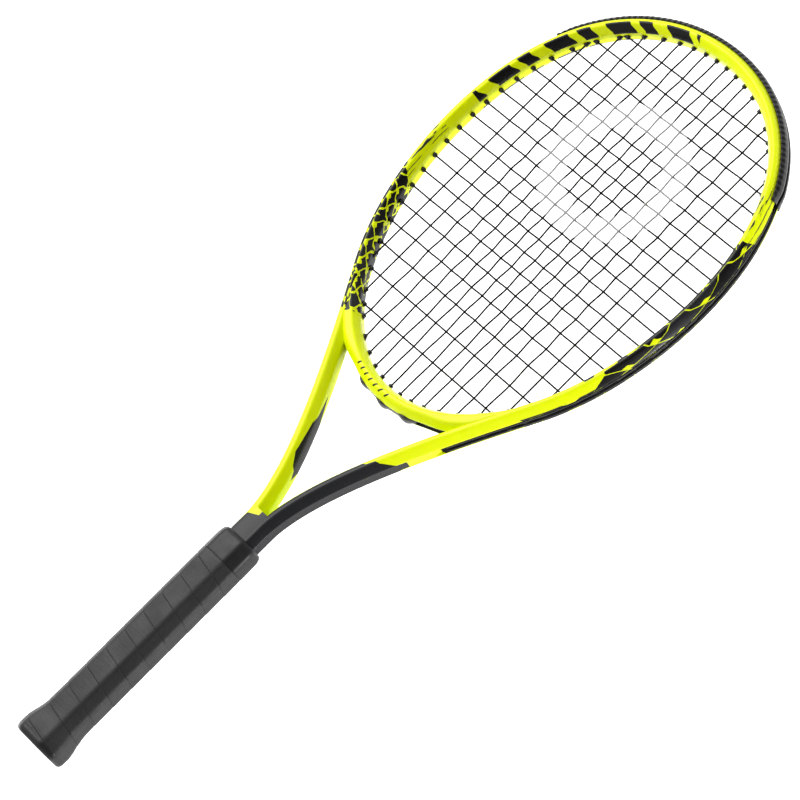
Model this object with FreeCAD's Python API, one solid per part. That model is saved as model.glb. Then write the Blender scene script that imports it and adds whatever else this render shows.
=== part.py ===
import FreeCAD, Part
import math
import os

# Strung tennis racket, modelled as the pieces that it is assembled from, in millimetres.
# The racket lies flat, with its strings in the plane z = 0, +X from the butt to the tip,
# +Y to the left and +Z out of the front face. The origin is the centre of the butt's end face.

LENGTH = 685.0

# The hoop's centreline is x = centre + half_length cos(f) - egg cos(2f),
# y = half_width sin(f) + shoulder sin(2f) + fullness sin(3f), with f = 0 at the tip.
HOOP_CENTRE_X = 513.0
HOOP_HALF_LENGTH = 168.55
HOOP_EGG = 4.97
HOOP_HALF_WIDTH = 129.6
HOOP_SHOULDER = 1.8
HOOP_FULLNESS = 2.1

# The tube: two legs side by side in the handle, then the arms, then the hoop's rail.
RAIL_WIDTH = 11.4
RAIL_DEPTH = 22.0
LEG_WIDTH = 12.9
LEG_DEPTH = 19.6
LEG_GAP = 0.5
SIDE_FLAT = 0.42          # flat part of the tube's side, as a share of its depth
FACE_FLAT = 0.3           # flat part of the tube's face, as a share of its width
WALL = 1.6
OUTER_WALL = 4.0          # from the tube's outer side to its bore, the groove included
FRAME_START_X = 6.0
ARM_START_X = 212.0
ARM_LEAVE = math.radians(133.0)
ARM_LOW_PULL = 45.0
ARM_HIGH_PULL = 75.0
BRIDGE_END = math.radians(147.0)
BRIDGE_HOLLOW_END = math.radians(161.0)
BORE_INSET = 0.8          # how much the bore's flats fall short of the outside's
BLEND_START = 1.1         # station where the leg's section starts to become the rail's
BLEND_END = 2.0

# Ranges of stations and hoop angles in which each kind of string end lies.
TIP_RANGE = (2.35, 2.999)
ARM_RANGE = (1.2, 2.2)
SIDE_RANGE = (1.5, 2.999)
BRIDGE_RANGE = (math.radians(100.0), math.pi)
TIP_ANGLES = (0.01, math.pi / 2)

# The groove in the tube's outer side, and the grommet strip and strings that lie in it.
GROOVE_DEPTH = 2.6
GROOVE_SHALLOW = 0.3
GROOVE_MOUTH = 3.3
GROOVE_FLOOR = 2.8
GROOVE_START = 1.64
STRIP_HALF_HEIGHT = 2.7
STRIP_BOTTOM = 2.55       # below the tube's outer side
STRIP_TOP = 1.65
SIDE_STRIP_START = 1.72   # stations along the tube, as frame_station() counts them
SIDE_STRIP_END = 2.575
BUMPER_START = 2.585
BARREL_RADIUS = 1.75
BARREL_PROUD = 2.5        # how far a barrel stands inside the hoop
TUBE_HOLE_RADIUS = 1.9
BORE_RADIUS = 0.8
CHANNEL_HALF = 1.5        # the bumper's channel over the strings
THROAT_STRIP_Y = 45.0

# The bumper's outline: z of its crest, shoulder and lip, and of the lip's inside.
BUMPER_CREST_Z = 3.5
BUMPER_SHOULDER_Z = 6.6
BUMPER_LIP_Z = 8.4
BUMPER_INSIDE_Z = 7.5
BUMPER_HEEL_Z = 4.7
BUMPER_SHOULDER_SHARE = 0.63
BUMPER_LIP_DROP = 0.6     # below the tube's outer side
BUMPER_INSIDE_DROP = 1.75
BUMPER_CLEARANCE = 0.05

# Strings.
STRING_RADIUS = 0.65
STRING_PLANE = 0.66       # mains lie this far above z = 0, and crosses this far below
STRING_SEAT = 0.75        # depth of a turned-back string's axis under the tube's outer side
MAINS_PER_SIDE = 8
MAIN_PITCH = 10.3
MAIN_FAN = 0.0402
CROSSES_PER_HALF = 9
CROSS_MIDDLE_X = 518.5
CROSS_PITCH = 13.3
CROSS_SPREAD_THROAT = 3.52e-4
CROSS_SPREAD_TIP = 1.15e-4
BRIDGE_MAINS = 5          # mains on each side that leave through the bridge
ANGLED_EXIT_Y = 42.0      # where the last of them leaves, beside the arm
TURN_RADIUS = 1.2
EASY_RADIUS = 12.0
KNOT_RADIUS = 0.7
KNOT_PLANE = 0.75         # height of a knot's middle over z = 0, or below it for the crosses
KNOT_LENGTH = 1.6
KNOT_GAP = 0.02
SHARP_TURN = 0.5          # radians; sharper corners get the small radius
SEAT_TO_BEYOND = 1.8      # how far the drills start outside a string's seat

# The handle: an octagon with 45 degree bevels.
GRIP_HALF_Y = 17.0
GRIP_HALF_Z = 14.2
GRIP_BEVEL_SUM = 23.5     # y + z on a bevel
WRAP_THICKNESS = 1.8
WRAP_START_X = 5.5
WRAP_STEP_X = 174.0
WRAP_STEP_LENGTH = 3.5
WRAP_END_X = 184.0
WRAP_STEP_DROP = 1.7
PALLET_END_X = 172.0
CAP_END_X = 31.0
CAP_FLOOR_X = 5.0
CAP_INNER_OFFSET = -2.98
CAP_WRAP_GAP = 0.05
FLARE = [(5.5, 1.19), (10.0, 1.207), (15.0, 1.155), (20.0, 1.085), (25.0, 1.03), (29.0, 1.004), (33.0, 1.0)]
CAP_RIM = [(0.0, 1.08), (1.0, 1.14), (3.0, 1.18), (5.5, 1.19)]
BADGE_RADIUS = 9.0
BADGE_THICKNESS = 1.2
TAPE_START_X = 179.0
TAPE_END_X = 183.0
TAPE_THICKNESS = 0.22
COLLAR_START_X = 178.2
COLLAR_SHOULDER_X = 188.0
COLLAR_ROUND_X = 194.0
COLLAR_END_X = 199.0
COLLAR_WALL_OFFSET = 0.2
COLLAR_GAP = 0.32
STAPLE_WIRE = 0.8
STAPLE_X = 22.0
STAPLE_WIDTH = 8.0
START_STAPLE_X = 12.0


def vec(x, y, z=0.0):
    return FreeCAD.Vector(x, y, z)


# Paths ------------------------------------------------------------------------------------


def hoop_point(angle):
    """Point and unit tangent of the hoop's centreline, travelled with the angle falling."""
    x = HOOP_CENTRE_X + HOOP_HALF_LENGTH * math.cos(angle) - HOOP_EGG * math.cos(2 * angle)
    y = (HOOP_HALF_WIDTH * math.sin(angle) + HOOP_SHOULDER * math.sin(2 * angle)
         + HOOP_FULLNESS * math.sin(3 * angle))
    dx = HOOP_HALF_LENGTH * math.sin(angle) - 2 * HOOP_EGG * math.sin(2 * angle)
    dy = -(HOOP_HALF_WIDTH * math.cos(angle) + 2 * HOOP_SHOULDER * math.cos(2 * angle)
           + 3 * HOOP_FULLNESS * math.cos(3 * angle))
    return vec(x, y), vec(dx, dy).normalize()


def arm_point(t):
    """Point and unit tangent of the left arm's centreline, a cubic Bezier curve."""
    end, end_tangent = hoop_point(ARM_LEAVE)
    leg_y = (LEG_GAP + LEG_WIDTH) / 2
    start = vec(ARM_START_X, leg_y)
    low = start + vec(ARM_LOW_PULL, 0)
    high = end - end_tangent * ARM_HIGH_PULL
    u = 1 - t
    point = start * u**3 + low * (3 * u * u * t) + high * (3 * u * t * t) + end * t**3
    slope = (low - start) * (u * u) + (high - low) * (2 * u * t) + (end - high) * (t * t)
    return point, slope.normalize()


def frame_station(s):
    """Centreline of the whole tube: 0 to 1 is the left leg, to 2 the arm, to 3 the hoop's left
    half up to the tip, and 3 to 6 is the mirror image, back to the right leg's end."""
    if s > 3:
        point, tangent = frame_station(6 - s)
        return vec(point.x, -point.y), vec(-tangent.x, tangent.y)
    if s <= 1:
        leg_y = (LEG_GAP + LEG_WIDTH) / 2
        return vec(FRAME_START_X + s * (ARM_START_X - FRAME_START_X), leg_y), vec(1, 0)
    if s <= 2:
        return arm_point(s - 1)
    return hoop_point(ARM_LEAVE * (3 - s))


def offset_point(curve, parameter, outwards, z=0.0):
    point, tangent = curve(parameter)
    return vec(point.x - tangent.y * outwards, point.y + tangent.x * outwards, z)


def find(curve, low, high, axis, value, outwards):
    """The parameter between low and high where the offset curve's coordinate is the value."""
    def miss(parameter):
        return getattr(offset_point(curve, parameter, outwards), axis) - value
    sign = 1 if miss(high) > 0 else -1
    for _ in range(50):
        middle = (low + high) / 2
        if miss(middle) * sign > 0:
            high = middle
        else:
            low = middle
    return (low + high) / 2


def spread(first, last, count):
    return [first + (last - first) * i / (count - 1) for i in range(count)]


def smooth(value, low, high):
    t = min(1.0, max(0.0, (value - low) / (high - low)))
    return t * t * (3 - 2 * t)


# Sections ---------------------------------------------------------------------------------


def tube_size(s):
    """Half width, half depth and groove depth of the tube at a station."""
    s = min(s, 6 - s)
    blend = smooth(s, BLEND_START, BLEND_END)
    width = LEG_WIDTH + (RAIL_WIDTH - LEG_WIDTH) * blend
    depth = LEG_DEPTH + (RAIL_DEPTH - LEG_DEPTH) * blend
    groove = GROOVE_SHALLOW + (GROOVE_DEPTH - GROOVE_SHALLOW) * smooth(s, GROOVE_START, SIDE_STRIP_START)
    return width / 2, depth / 2, groove


def tube_profile(a, c, groove):
    """Outline (outwards, z) of the tube: a bevelled box with a groove in its outer side."""
    return [(a, -SIDE_FLAT * c), (a, -GROOVE_MOUTH), (a - groove, -GROOVE_FLOOR),
            (a - groove, GROOVE_FLOOR), (a, GROOVE_MOUTH), (a, SIDE_FLAT * c),
            (FACE_FLAT * a, c), (-FACE_FLAT * a, c), (-a, SIDE_FLAT * c),
            (-a, -SIDE_FLAT * c), (-FACE_FLAT * a, -c), (FACE_FLAT * a, -c)]


def bore_profile(a, c):
    """Outline (outwards, z) of the hollow inside the tube."""
    outer = a - OUTER_WALL
    inner = a - WALL
    side = SIDE_FLAT * c - BORE_INSET
    face = FACE_FLAT * a - BORE_INSET
    top = c - WALL
    return [(outer, -side), (outer, side), (face, top), (-face, top),
            (-inner, side), (-inner, -side), (-face, -top), (face, -top)]


def strip_profile(a):
    return [(a - STRIP_BOTTOM, -STRIP_HALF_HEIGHT), (a - STRIP_TOP, -STRIP_HALF_HEIGHT),
            (a - STRIP_TOP, STRIP_HALF_HEIGHT), (a - STRIP_BOTTOM, STRIP_HALF_HEIGHT)]


def bumper_profile(a, proud):
    """Outline of the bumper: a rib in the groove, two lips over the bevels, and a channel."""
    half = [(a - STRIP_TOP, CHANNEL_HALF), (a + proud, CHANNEL_HALF), (a + proud, BUMPER_CREST_Z),
            (a + BUMPER_SHOULDER_SHARE * proud, BUMPER_SHOULDER_Z),
            (a - BUMPER_LIP_DROP, BUMPER_LIP_Z), (a - BUMPER_INSIDE_DROP, BUMPER_INSIDE_Z),
            (a + BUMPER_CLEARANCE, BUMPER_HEEL_Z), (a + BUMPER_CLEARANCE, STRIP_HALF_HEIGHT),
            (a - STRIP_BOTTOM, STRIP_HALF_HEIGHT)]
    return [(n, -z) for n, z in half] + [(n, z) for n, z in reversed(half)]


def section(curve, parameter, outline):
    points = [offset_point(curve, parameter, n, z) for n, z in outline]
    return Part.makePolygon(points + points[:1])


def ruled(wires):
    """A solid of straight-ruled faces through the sections."""
    return Part.makeLoft(wires, True, True, False)


def octagon(x, scale=1.0, offset=0.0):
    """The handle's octagon across X, scaled, then moved outwards by the offset."""
    half_y = GRIP_HALF_Y * scale + offset
    half_z = GRIP_HALF_Z * scale + offset
    bevel = GRIP_BEVEL_SUM * scale + offset * math.sqrt(2)
    return octagon_wire(x, half_y, half_z, bevel - half_z, bevel - half_y)


def octagon_wire(x, half_y, half_z, flat_y, flat_z):
    quarter = [(half_y, flat_z), (flat_y, half_z)]
    corners = quarter + [(-y, z) for y, z in reversed(quarter)]
    corners += [(-y, -z) for y, z in corners]
    points = [vec(x, y, z) for y, z in corners]
    return Part.makePolygon(points + points[:1])


def shaft_block(first_x, last_x, clearance):
    """The outline of both legs together, as one block."""
    leg_y = (LEG_GAP + LEG_WIDTH) / 2
    half_y = leg_y + LEG_WIDTH / 2 + clearance
    half_z = LEG_DEPTH / 2 + clearance
    flat_y = leg_y + FACE_FLAT * LEG_WIDTH / 2 + clearance * 0.4
    flat_z = SIDE_FLAT * LEG_DEPTH / 2 + clearance * 0.4
    return ruled([octagon_wire(x, half_y, half_z, flat_y, flat_z) for x in (first_x, last_x)])


# Strings ----------------------------------------------------------------------------------


def main_offset(index):
    step = index - 0.5
    return MAIN_PITCH * step + MAIN_FAN * step**3


def cross_x(index):
    spread_rate = CROSS_SPREAD_THROAT if index < 0 else CROSS_SPREAD_TIP
    return CROSS_MIDDLE_X + CROSS_PITCH * index + spread_rate * index**5


class StringEnd:
    """Where a string enters the rail from inside the hoop, and where it leaves outside."""

    def __init__(self, curve, outer_at, inner_at, z):
        half = RAIL_WIDTH / 2
        self.curve = curve
        self.outer_at = outer_at
        self.seat = offset_point(curve, outer_at, half - STRING_SEAT, z)
        self.inner = offset_point(hoop_point, inner_at, -half - BARREL_PROUD, z)
        self.way_out = (self.seat - self.inner).normalize()
        self.strip = self.seat - self.way_out * (STRIP_TOP - STRING_SEAT + 0.4)
        self.beyond = self.seat + self.way_out * SEAT_TO_BEYOND


def main_ends(index):
    """Throat end and tip end of the main at the index, counted outwards, on the left side."""
    depth = RAIL_WIDTH / 2 - STRING_SEAT
    proud = -RAIL_WIDTH / 2 - BARREL_PROUD
    offset = main_offset(index)
    inner_tip = find(hoop_point, *TIP_ANGLES, "y", offset, proud)
    outer_tip = find(frame_station, *TIP_RANGE, "y", offset, depth)
    tip = StringEnd(frame_station, outer_tip, inner_tip, STRING_PLANE)
    inner = find(hoop_point, *BRIDGE_RANGE, "y", offset, proud)
    if index > BRIDGE_MAINS:
        outer = find(frame_station, *ARM_RANGE, "y", offset, depth)
        return StringEnd(frame_station, outer, inner, STRING_PLANE), tip
    exit_y = ANGLED_EXIT_Y if index == BRIDGE_MAINS else offset
    outer = find(hoop_point, *BRIDGE_RANGE, "y", exit_y, depth)
    return StringEnd(hoop_point, outer, inner, STRING_PLANE), tip


def cross_end(index):
    """Left end of the cross at the index, counted from the middle towards the tip."""
    x = cross_x(index)
    inner = find(hoop_point, math.pi, 0.0, "x", x, -RAIL_WIDTH / 2 - BARREL_PROUD)
    outer = find(frame_station, *SIDE_RANGE, "x", x, RAIL_WIDTH / 2 - STRING_SEAT)
    return StringEnd(frame_station, outer, inner, -STRING_PLANE)


def flip(point):
    return vec(point.x, -point.y, point.z)


def turn_back(first, second, side):
    """Points along the groove from one string end to the next, between their seats."""
    steps = spread(first.outer_at, second.outer_at, 4)[1:-1]
    points = [offset_point(first.curve, step, RAIL_WIDTH / 2 - STRING_SEAT, first.seat.z)
              for step in steps]
    return [flip(point) for point in points] if side < 0 else points


def rounded_wire(points):
    """Straight runs between the points, joined by tangent arcs."""
    edges = []
    start = points[0]
    for before, corner, after in zip(points, points[1:], points[2:]):
        arriving = (corner - before).normalize()
        leaving = (after - corner).normalize()
        turn = arriving.getAngle(leaving)
        if turn < 0.002:
            continue
        room = 0.45 * min((corner - before).Length, (after - corner).Length)
        wanted = TURN_RADIUS if turn > SHARP_TURN else EASY_RADIUS
        reach = min(wanted * math.tan(turn / 2), room)
        first = corner - arriving * reach
        last = corner + leaving * reach
        radius = reach / math.tan(turn / 2)
        inward = (leaving - arriving).normalize()
        middle = corner + inward * (radius / math.cos(turn / 2) - radius)
        edges.append(Part.LineSegment(start, first).toShape())
        edges.append(Part.Arc(first, middle, last).toShape())
        start = last
    edges.append(Part.LineSegment(start, points[-1]).toShape())
    return Part.Wire(edges)


def string_solid(points):
    """A round string along a flat path."""
    wire = rounded_wire(points)
    direction = points[1] - points[0]
    circle = Part.Wire(Part.makeCircle(STRING_RADIUS, points[0], direction))
    sweep = Part.BRepOffsetAPI.MakePipeShell(wire)
    sweep.setBiNormalMode(vec(0, 0, 1))
    sweep.add(circle, False, False)
    sweep.build()
    sweep.makeSolid()
    return sweep.shape()


def main_string_points():
    """The whole main string, from one side's outermost main to the other's."""
    ends = {index: main_ends(index) for index in range(1, MAINS_PER_SIDE + 1)}
    order = [(-1, i) for i in range(MAINS_PER_SIDE, 0, -1)]
    order += [(1, i) for i in range(1, MAINS_PER_SIDE + 1)]
    points = []
    for number, (side, index) in enumerate(order):
        throat, tip = ends[index]
        run = [throat.seat, throat.inner, tip.inner, tip.seat]
        if index != BRIDGE_MAINS:
            run = [throat.seat, tip.seat]
        if side < 0:
            run = [flip(point) for point in run]
        if number % 2:
            run.reverse()
        points += run
        if number + 1 == len(order):
            break
        next_side, next_index = order[number + 1]
        at_tip = number % 2 == 0
        here = ends[index][1 if at_tip else 0]
        there = ends[next_index][1 if at_tip else 0]
        if next_side == side:
            points += turn_back(here, there, side)
    return points


def cross_string_points():
    """The whole cross string, from the throat's first cross to the tip's last one."""
    points = []
    indices = range(-CROSSES_PER_HALF, CROSSES_PER_HALF + 1)
    for number, index in enumerate(indices):
        end = cross_end(index)
        side = 1 if number % 2 else -1
        run = [end.seat, flip(end.seat)] if side > 0 else [flip(end.seat), end.seat]
        points += run
        if index < CROSSES_PER_HALF:
            points += turn_back(end, cross_end(index + 1), -side)
    return points


def tube_between(start, end, radius):
    direction = end - start
    return Part.makeCylinder(radius, direction.Length, start, direction)


def string_ends_left():
    """Every string end on the left half: mains at the throat and tip, then crosses."""
    ends = []
    for index in range(1, MAINS_PER_SIDE + 1):
        ends += list(main_ends(index))
    ends += [cross_end(index) for index in range(-CROSSES_PER_HALF, CROSSES_PER_HALF + 1)]
    return ends


def mirrored(shape):
    return shape.mirror(vec(0, 0), vec(0, 1))


def both_sides(shapes):
    return shapes + [mirrored(shape) for shape in shapes]


def drills(ends):
    return [tube_between(end.beyond, end.inner, TUBE_HOLE_RADIUS) for end in ends]


def add_barrels(strip, ends, sides):
    """Fuse a barrel on the strip at each string end, and bore it for the string."""
    barrels = [tube_between(end.strip, end.inner, BARREL_RADIUS) for end in ends]
    bores = [tube_between(end.beyond, end.inner + (end.inner - end.beyond) * 0.1, BORE_RADIUS)
             for end in ends]
    if sides == 2:
        barrels, bores = both_sides(barrels), both_sides(bores)
    return strip.multiFuse(barrels).cut(Part.makeCompound(bores))


# Pieces -----------------------------------------------------------------------------------


def tube_blank():
    stations = spread(0.0, 1.0, 4) + spread(1.06, 2.0, 17) + spread(2.06, 3.0, 17)
    stations += [6 - s for s in reversed(stations[:-1])]
    return ruled([section(frame_station, s, tube_profile(*tube_size(s))) for s in stations])


def frame_tube(blank):
    """The hairpin tube: hoop, arms and legs, hollow, with a hole for each string end."""
    stations = [-0.02] + spread(0.3, 1.0, 3) + spread(1.06, 2.0, 17) + spread(2.06, 3.0, 17)
    stations += [6 - s for s in reversed(stations[:-1])]
    bore = ruled([section(frame_station, s, bore_profile(*tube_size(s)[:2])) for s in stations])
    return blank.cut(bore).cut(Part.makeCompound(both_sides(drills(string_ends_left()))))


def bridge_stations(count):
    return spread(2 * math.pi - BRIDGE_END, BRIDGE_END, count)


def bridge_blank():
    outline = tube_profile(RAIL_WIDTH / 2, RAIL_DEPTH / 2, GROOVE_DEPTH)
    return ruled([section(hoop_point, f, outline) for f in bridge_stations(15)])


def throat_bridge(blank):
    """The hollow bar that closes the hoop between the arms."""
    outline = bore_profile(RAIL_WIDTH / 2, RAIL_DEPTH / 2)
    hollow = ruled([section(hoop_point, f, outline)
                   for f in spread(2 * math.pi - BRIDGE_HOLLOW_END, BRIDGE_HOLLOW_END, 9)])
    solid = bridge_blank().cut(blank).cut(hollow)
    solid = solid.cut(Part.makeCompound(both_sides(drills(string_ends_left()))))
    return largest(solid)


def largest(shape):
    return max(shape.Solids, key=lambda piece: piece.Volume)


def strip_between(curve, first, last, count):
    outline = strip_profile(RAIL_WIDTH / 2)
    return ruled([section(curve, s, outline) for s in spread(first, last, count)])


def side_grommet_strip_left(blank):
    strip = strip_between(frame_station, SIDE_STRIP_START, SIDE_STRIP_END, 20)
    ends = [end for end in string_ends_left() if end.curve is frame_station
            and SIDE_STRIP_START - 0.02 < end.outer_at < SIDE_STRIP_END]
    return add_barrels(largest(strip.cut(blank)), ends, 1)


def bumper_guard(blank):
    """The guard round the tip, with the grommet barrels that it carries."""
    proud = LENGTH - offset_point(frame_station, 3.0, RAIL_WIDTH / 2).x
    outline = bumper_profile(RAIL_WIDTH / 2, proud)
    guard = ruled([section(frame_station, s, outline)
                  for s in spread(BUMPER_START, 6 - BUMPER_START, 21)])
    ends = [end for end in string_ends_left() if end.curve is frame_station
            and end.outer_at > BUMPER_START]
    return add_barrels(largest(guard.cut(blank)), ends, 2)


def throat_grommet_strip(blank):
    edge = find(hoop_point, *BRIDGE_RANGE, "y", THROAT_STRIP_Y, RAIL_WIDTH / 2)
    strip = strip_between(hoop_point, 2 * math.pi - edge, edge, 11)
    ends = [main_ends(index)[0] for index in range(1, BRIDGE_MAINS + 1)]
    return add_barrels(largest(strip.cut(bridge_blank()).cut(blank)), ends, 2)


def knot(end, z):
    """A tied-off bead just beyond the string's free end, drawn out along the groove."""
    centre = end.seat + end.way_out * KNOT_RADIUS
    centre.z = z
    along = end.curve(end.outer_at)[1] * (KNOT_LENGTH / 2)
    middle = tube_between(centre - along, centre + along, KNOT_RADIUS)
    bead = middle.multiFuse([Part.makeSphere(KNOT_RADIUS, centre + along),
                             Part.makeSphere(KNOT_RADIUS, centre - along)])
    tip = end.seat + end.way_out * KNOT_GAP
    return bead.cut(tube_between(end.inner, tip, STRING_RADIUS + KNOT_GAP))


def main_string_knots():
    left = knot(main_ends(MAINS_PER_SIDE)[0], KNOT_PLANE)
    return Part.makeCompound([left, mirrored(left)])


def cross_string_knots():
    first = mirrored(knot(cross_end(-CROSSES_PER_HALF), -KNOT_PLANE))
    return Part.makeCompound([first, knot(cross_end(CROSSES_PER_HALF), -KNOT_PLANE)])


def staple(x, reach):
    """A staple over the +Z side: a crown across the handle and two legs down into it."""
    top, bottom = reach
    half = STAPLE_WIDTH / 2
    crown = Part.makeBox(STAPLE_WIRE, STAPLE_WIDTH, STAPLE_WIRE,
                         vec(x, -half, top - STAPLE_WIRE))
    legs = [Part.makeBox(STAPLE_WIRE, STAPLE_WIRE, top - bottom, vec(x, y, bottom))
            for y in (-half, half - STAPLE_WIRE)]
    return crown.multiFuse(legs).removeSplitter()


def butt_cap_staples():
    upper = staple(STAPLE_X, (12.6, 10.2))
    return Part.makeCompound([upper, upper.mirror(vec(0, 0), vec(0, 0, 1))])


def grip_start_staple():
    flat = staple(START_STAPLE_X, (18.9, 15.6))
    return flat.rotate(vec(START_STAPLE_X, 0), vec(1, 0), -90)


def pallet_blank():
    inner = CAP_INNER_OFFSET - 0.05
    body = -WRAP_THICKNESS - 0.02
    return ruled([octagon(FRAME_START_X, 1, inner), octagon(CAP_END_X + 0.4, 1, inner)]).fuse(
        ruled([octagon(CAP_END_X + 0.4, 1, body), octagon(PALLET_END_X, 1, body)]))


def handle_pallet_upper():
    """The front half of the moulded foam that gives the handle its eight flats."""
    blank = pallet_blank().cut(shaft_block(0, PALLET_END_X + 10, 0.02))
    half = Part.makeBox(PALLET_END_X, 60, 30, vec(0, -30, 0.02))
    return blank.common(half).cut(butt_cap_staples())


def handle_pallet_lower():
    return handle_pallet_upper().mirror(vec(0, 0), vec(0, 0, 1))


def butt_cap():
    """The moulded cap with its flare, rim, end wall and the recess for the badge."""
    under_wrap = -WRAP_THICKNESS - CAP_WRAP_GAP
    skirt = ruled([octagon(min(x, CAP_END_X), k, under_wrap) for x, k in FLARE])
    rim = ruled([octagon(x, k) for x, k in CAP_RIM])
    cavity = ruled([octagon(CAP_FLOOR_X, 1, CAP_INNER_OFFSET), octagon(40, 1, CAP_INNER_OFFSET)])
    recess = Part.makeCylinder(BADGE_RADIUS + 0.05, BADGE_THICKNESS, vec(0, 0), vec(1, 0))
    cap = skirt.fuse(rim).cut(cavity).cut(recess)
    return cap.cut(butt_cap_staples()).cut(grip_start_staple())


def butt_end_badge():
    return Part.makeCylinder(BADGE_RADIUS, BADGE_THICKNESS, vec(0, 0), vec(1, 0))


def grip_wrap():
    """The wound grip as one sleeve, which steps down under the collar."""
    steps = [(x, k, 0.0) for x, k in FLARE]
    steps += [(WRAP_STEP_X, 1.0, 0.0), (WRAP_STEP_X + WRAP_STEP_LENGTH, 1.0, -WRAP_STEP_DROP),
              (WRAP_END_X, 1.0, -WRAP_STEP_DROP)]
    sleeve = ruled([octagon(x, k, offset) for x, k, offset in steps])
    hollow = ruled([octagon(x, k, offset - WRAP_THICKNESS) for x, k, offset in steps])
    ends = ruled([octagon(WRAP_START_X - 1, 1.19, -WRAP_THICKNESS),
                  octagon(WRAP_START_X, 1.19, -WRAP_THICKNESS)])
    return sleeve.cut(hollow).cut(ends).cut(grip_start_staple())


def finishing_tape():
    def ring(offset):
        return ruled([octagon(x, 1, offset) for x in (TAPE_START_X, TAPE_END_X)])
    return ring(-WRAP_STEP_DROP + 0.02 + TAPE_THICKNESS).cut(ring(-WRAP_STEP_DROP + 0.02))


def grip_collar():
    """The rubber collar over the grip's end: a skirt, a shoulder, and a lip round the legs."""
    outer = COLLAR_WALL_OFFSET
    skin = ruled([octagon(COLLAR_START_X, 1, outer), octagon(COLLAR_ROUND_X, 1, outer),
                  octagon(COLLAR_ROUND_X + 3, 1, outer - 0.9),
                  octagon(COLLAR_END_X, 1, outer - 2.2)])
    pocket_offset = -WRAP_STEP_DROP + 0.02 + TAPE_THICKNESS + COLLAR_GAP
    pocket = ruled([octagon(COLLAR_START_X - 1, 1, pocket_offset),
                    octagon(COLLAR_SHOULDER_X, 1, pocket_offset)])
    return skin.cut(pocket).cut(shaft_block(COLLAR_START_X - 5, COLLAR_END_X + 5, COLLAR_GAP))


def build():
    blank = tube_blank()
    side_left = side_grommet_strip_left(blank)
    return {
        "frame_tube": frame_tube(blank),
        "throat_bridge": throat_bridge(blank),
        "bumper_guard": bumper_guard(blank),
        "side_grommet_strip_left": side_left,
        "side_grommet_strip_right": mirrored(side_left),
        "throat_grommet_strip": throat_grommet_strip(blank),
        "main_string": string_solid(main_string_points()),
        "cross_string": string_solid(cross_string_points()),
        "main_string_knots": main_string_knots(),
        "cross_string_knots": cross_string_knots(),
        "handle_pallet_upper": handle_pallet_upper(),
        "handle_pallet_lower": handle_pallet_lower(),
        "butt_cap": butt_cap(),
        "butt_end_badge": butt_end_badge(),
        "butt_cap_staples": butt_cap_staples(),
        "grip_wrap": grip_wrap(),
        "grip_start_staple": grip_start_staple(),
        "finishing_tape": finishing_tape(),
        "grip_collar": grip_collar(),
    }


os.makedirs("parts", exist_ok=True)
for node, shape in build().items():
    box = shape.BoundBox
    print(f"{node}: valid {shape.isValid()}, solids {len(shape.Solids)}, volume {shape.Volume:.0f}, "
          f"x {box.XMin:.1f} to {box.XMax:.1f}, y {box.YMin:.1f} to {box.YMax:.1f}, "
          f"z {box.ZMin:.1f} to {box.ZMax:.1f}")
    shape.exportStep(f"parts/{node}.step")
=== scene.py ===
"""Looks of a strung tennis racket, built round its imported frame.

Metres, in the row frame: +X runs from the butt to the tip, +Y is the racket's left, and +Z leaves
the front face. The strings lie in the plane z = 0.
"""
import math

import bpy
import numpy as np
from mathutils import Matrix, Vector


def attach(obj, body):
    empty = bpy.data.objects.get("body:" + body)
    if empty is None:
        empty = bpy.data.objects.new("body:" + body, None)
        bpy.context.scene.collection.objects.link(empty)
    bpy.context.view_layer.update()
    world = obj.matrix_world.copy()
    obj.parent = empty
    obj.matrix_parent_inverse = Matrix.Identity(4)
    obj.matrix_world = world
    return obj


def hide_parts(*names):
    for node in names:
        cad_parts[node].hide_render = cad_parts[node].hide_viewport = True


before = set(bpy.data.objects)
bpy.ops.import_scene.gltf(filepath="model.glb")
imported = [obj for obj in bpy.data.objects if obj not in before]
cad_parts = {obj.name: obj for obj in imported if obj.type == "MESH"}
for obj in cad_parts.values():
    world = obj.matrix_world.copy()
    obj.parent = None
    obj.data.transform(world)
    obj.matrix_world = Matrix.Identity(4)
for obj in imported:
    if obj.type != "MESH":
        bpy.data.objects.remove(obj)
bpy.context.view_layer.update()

bl_info = {
    "name": "Strung Racket",
    "version": (1, 0, 0),
    "blender": (4, 5, 0),
    "location": "3D View > Sidebar > Racket",
    "description": "Builds the lacquered frame, strings, guards and grip of a tennis racket",
    "category": "Add Mesh",
}

MM = 0.001

# Hoop centreline, as in the CAD source.
HOOP_CENTRE_X = 513.0 * MM
HOOP_HALF_LENGTH = 168.55 * MM
HOOP_EGG = 4.97 * MM
HOOP_HALF_WIDTH = 129.6 * MM
HOOP_SHOULDER = 1.8 * MM
HOOP_FULLNESS = 2.1 * MM
ARM_START = 212.0 * MM
ARM_LEAVE = math.radians(133.0)
ARM_LOW_PULL = 45.0 * MM
ARM_HIGH_PULL = 75.0 * MM
BRIDGE_REACH = math.radians(136.5)

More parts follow.
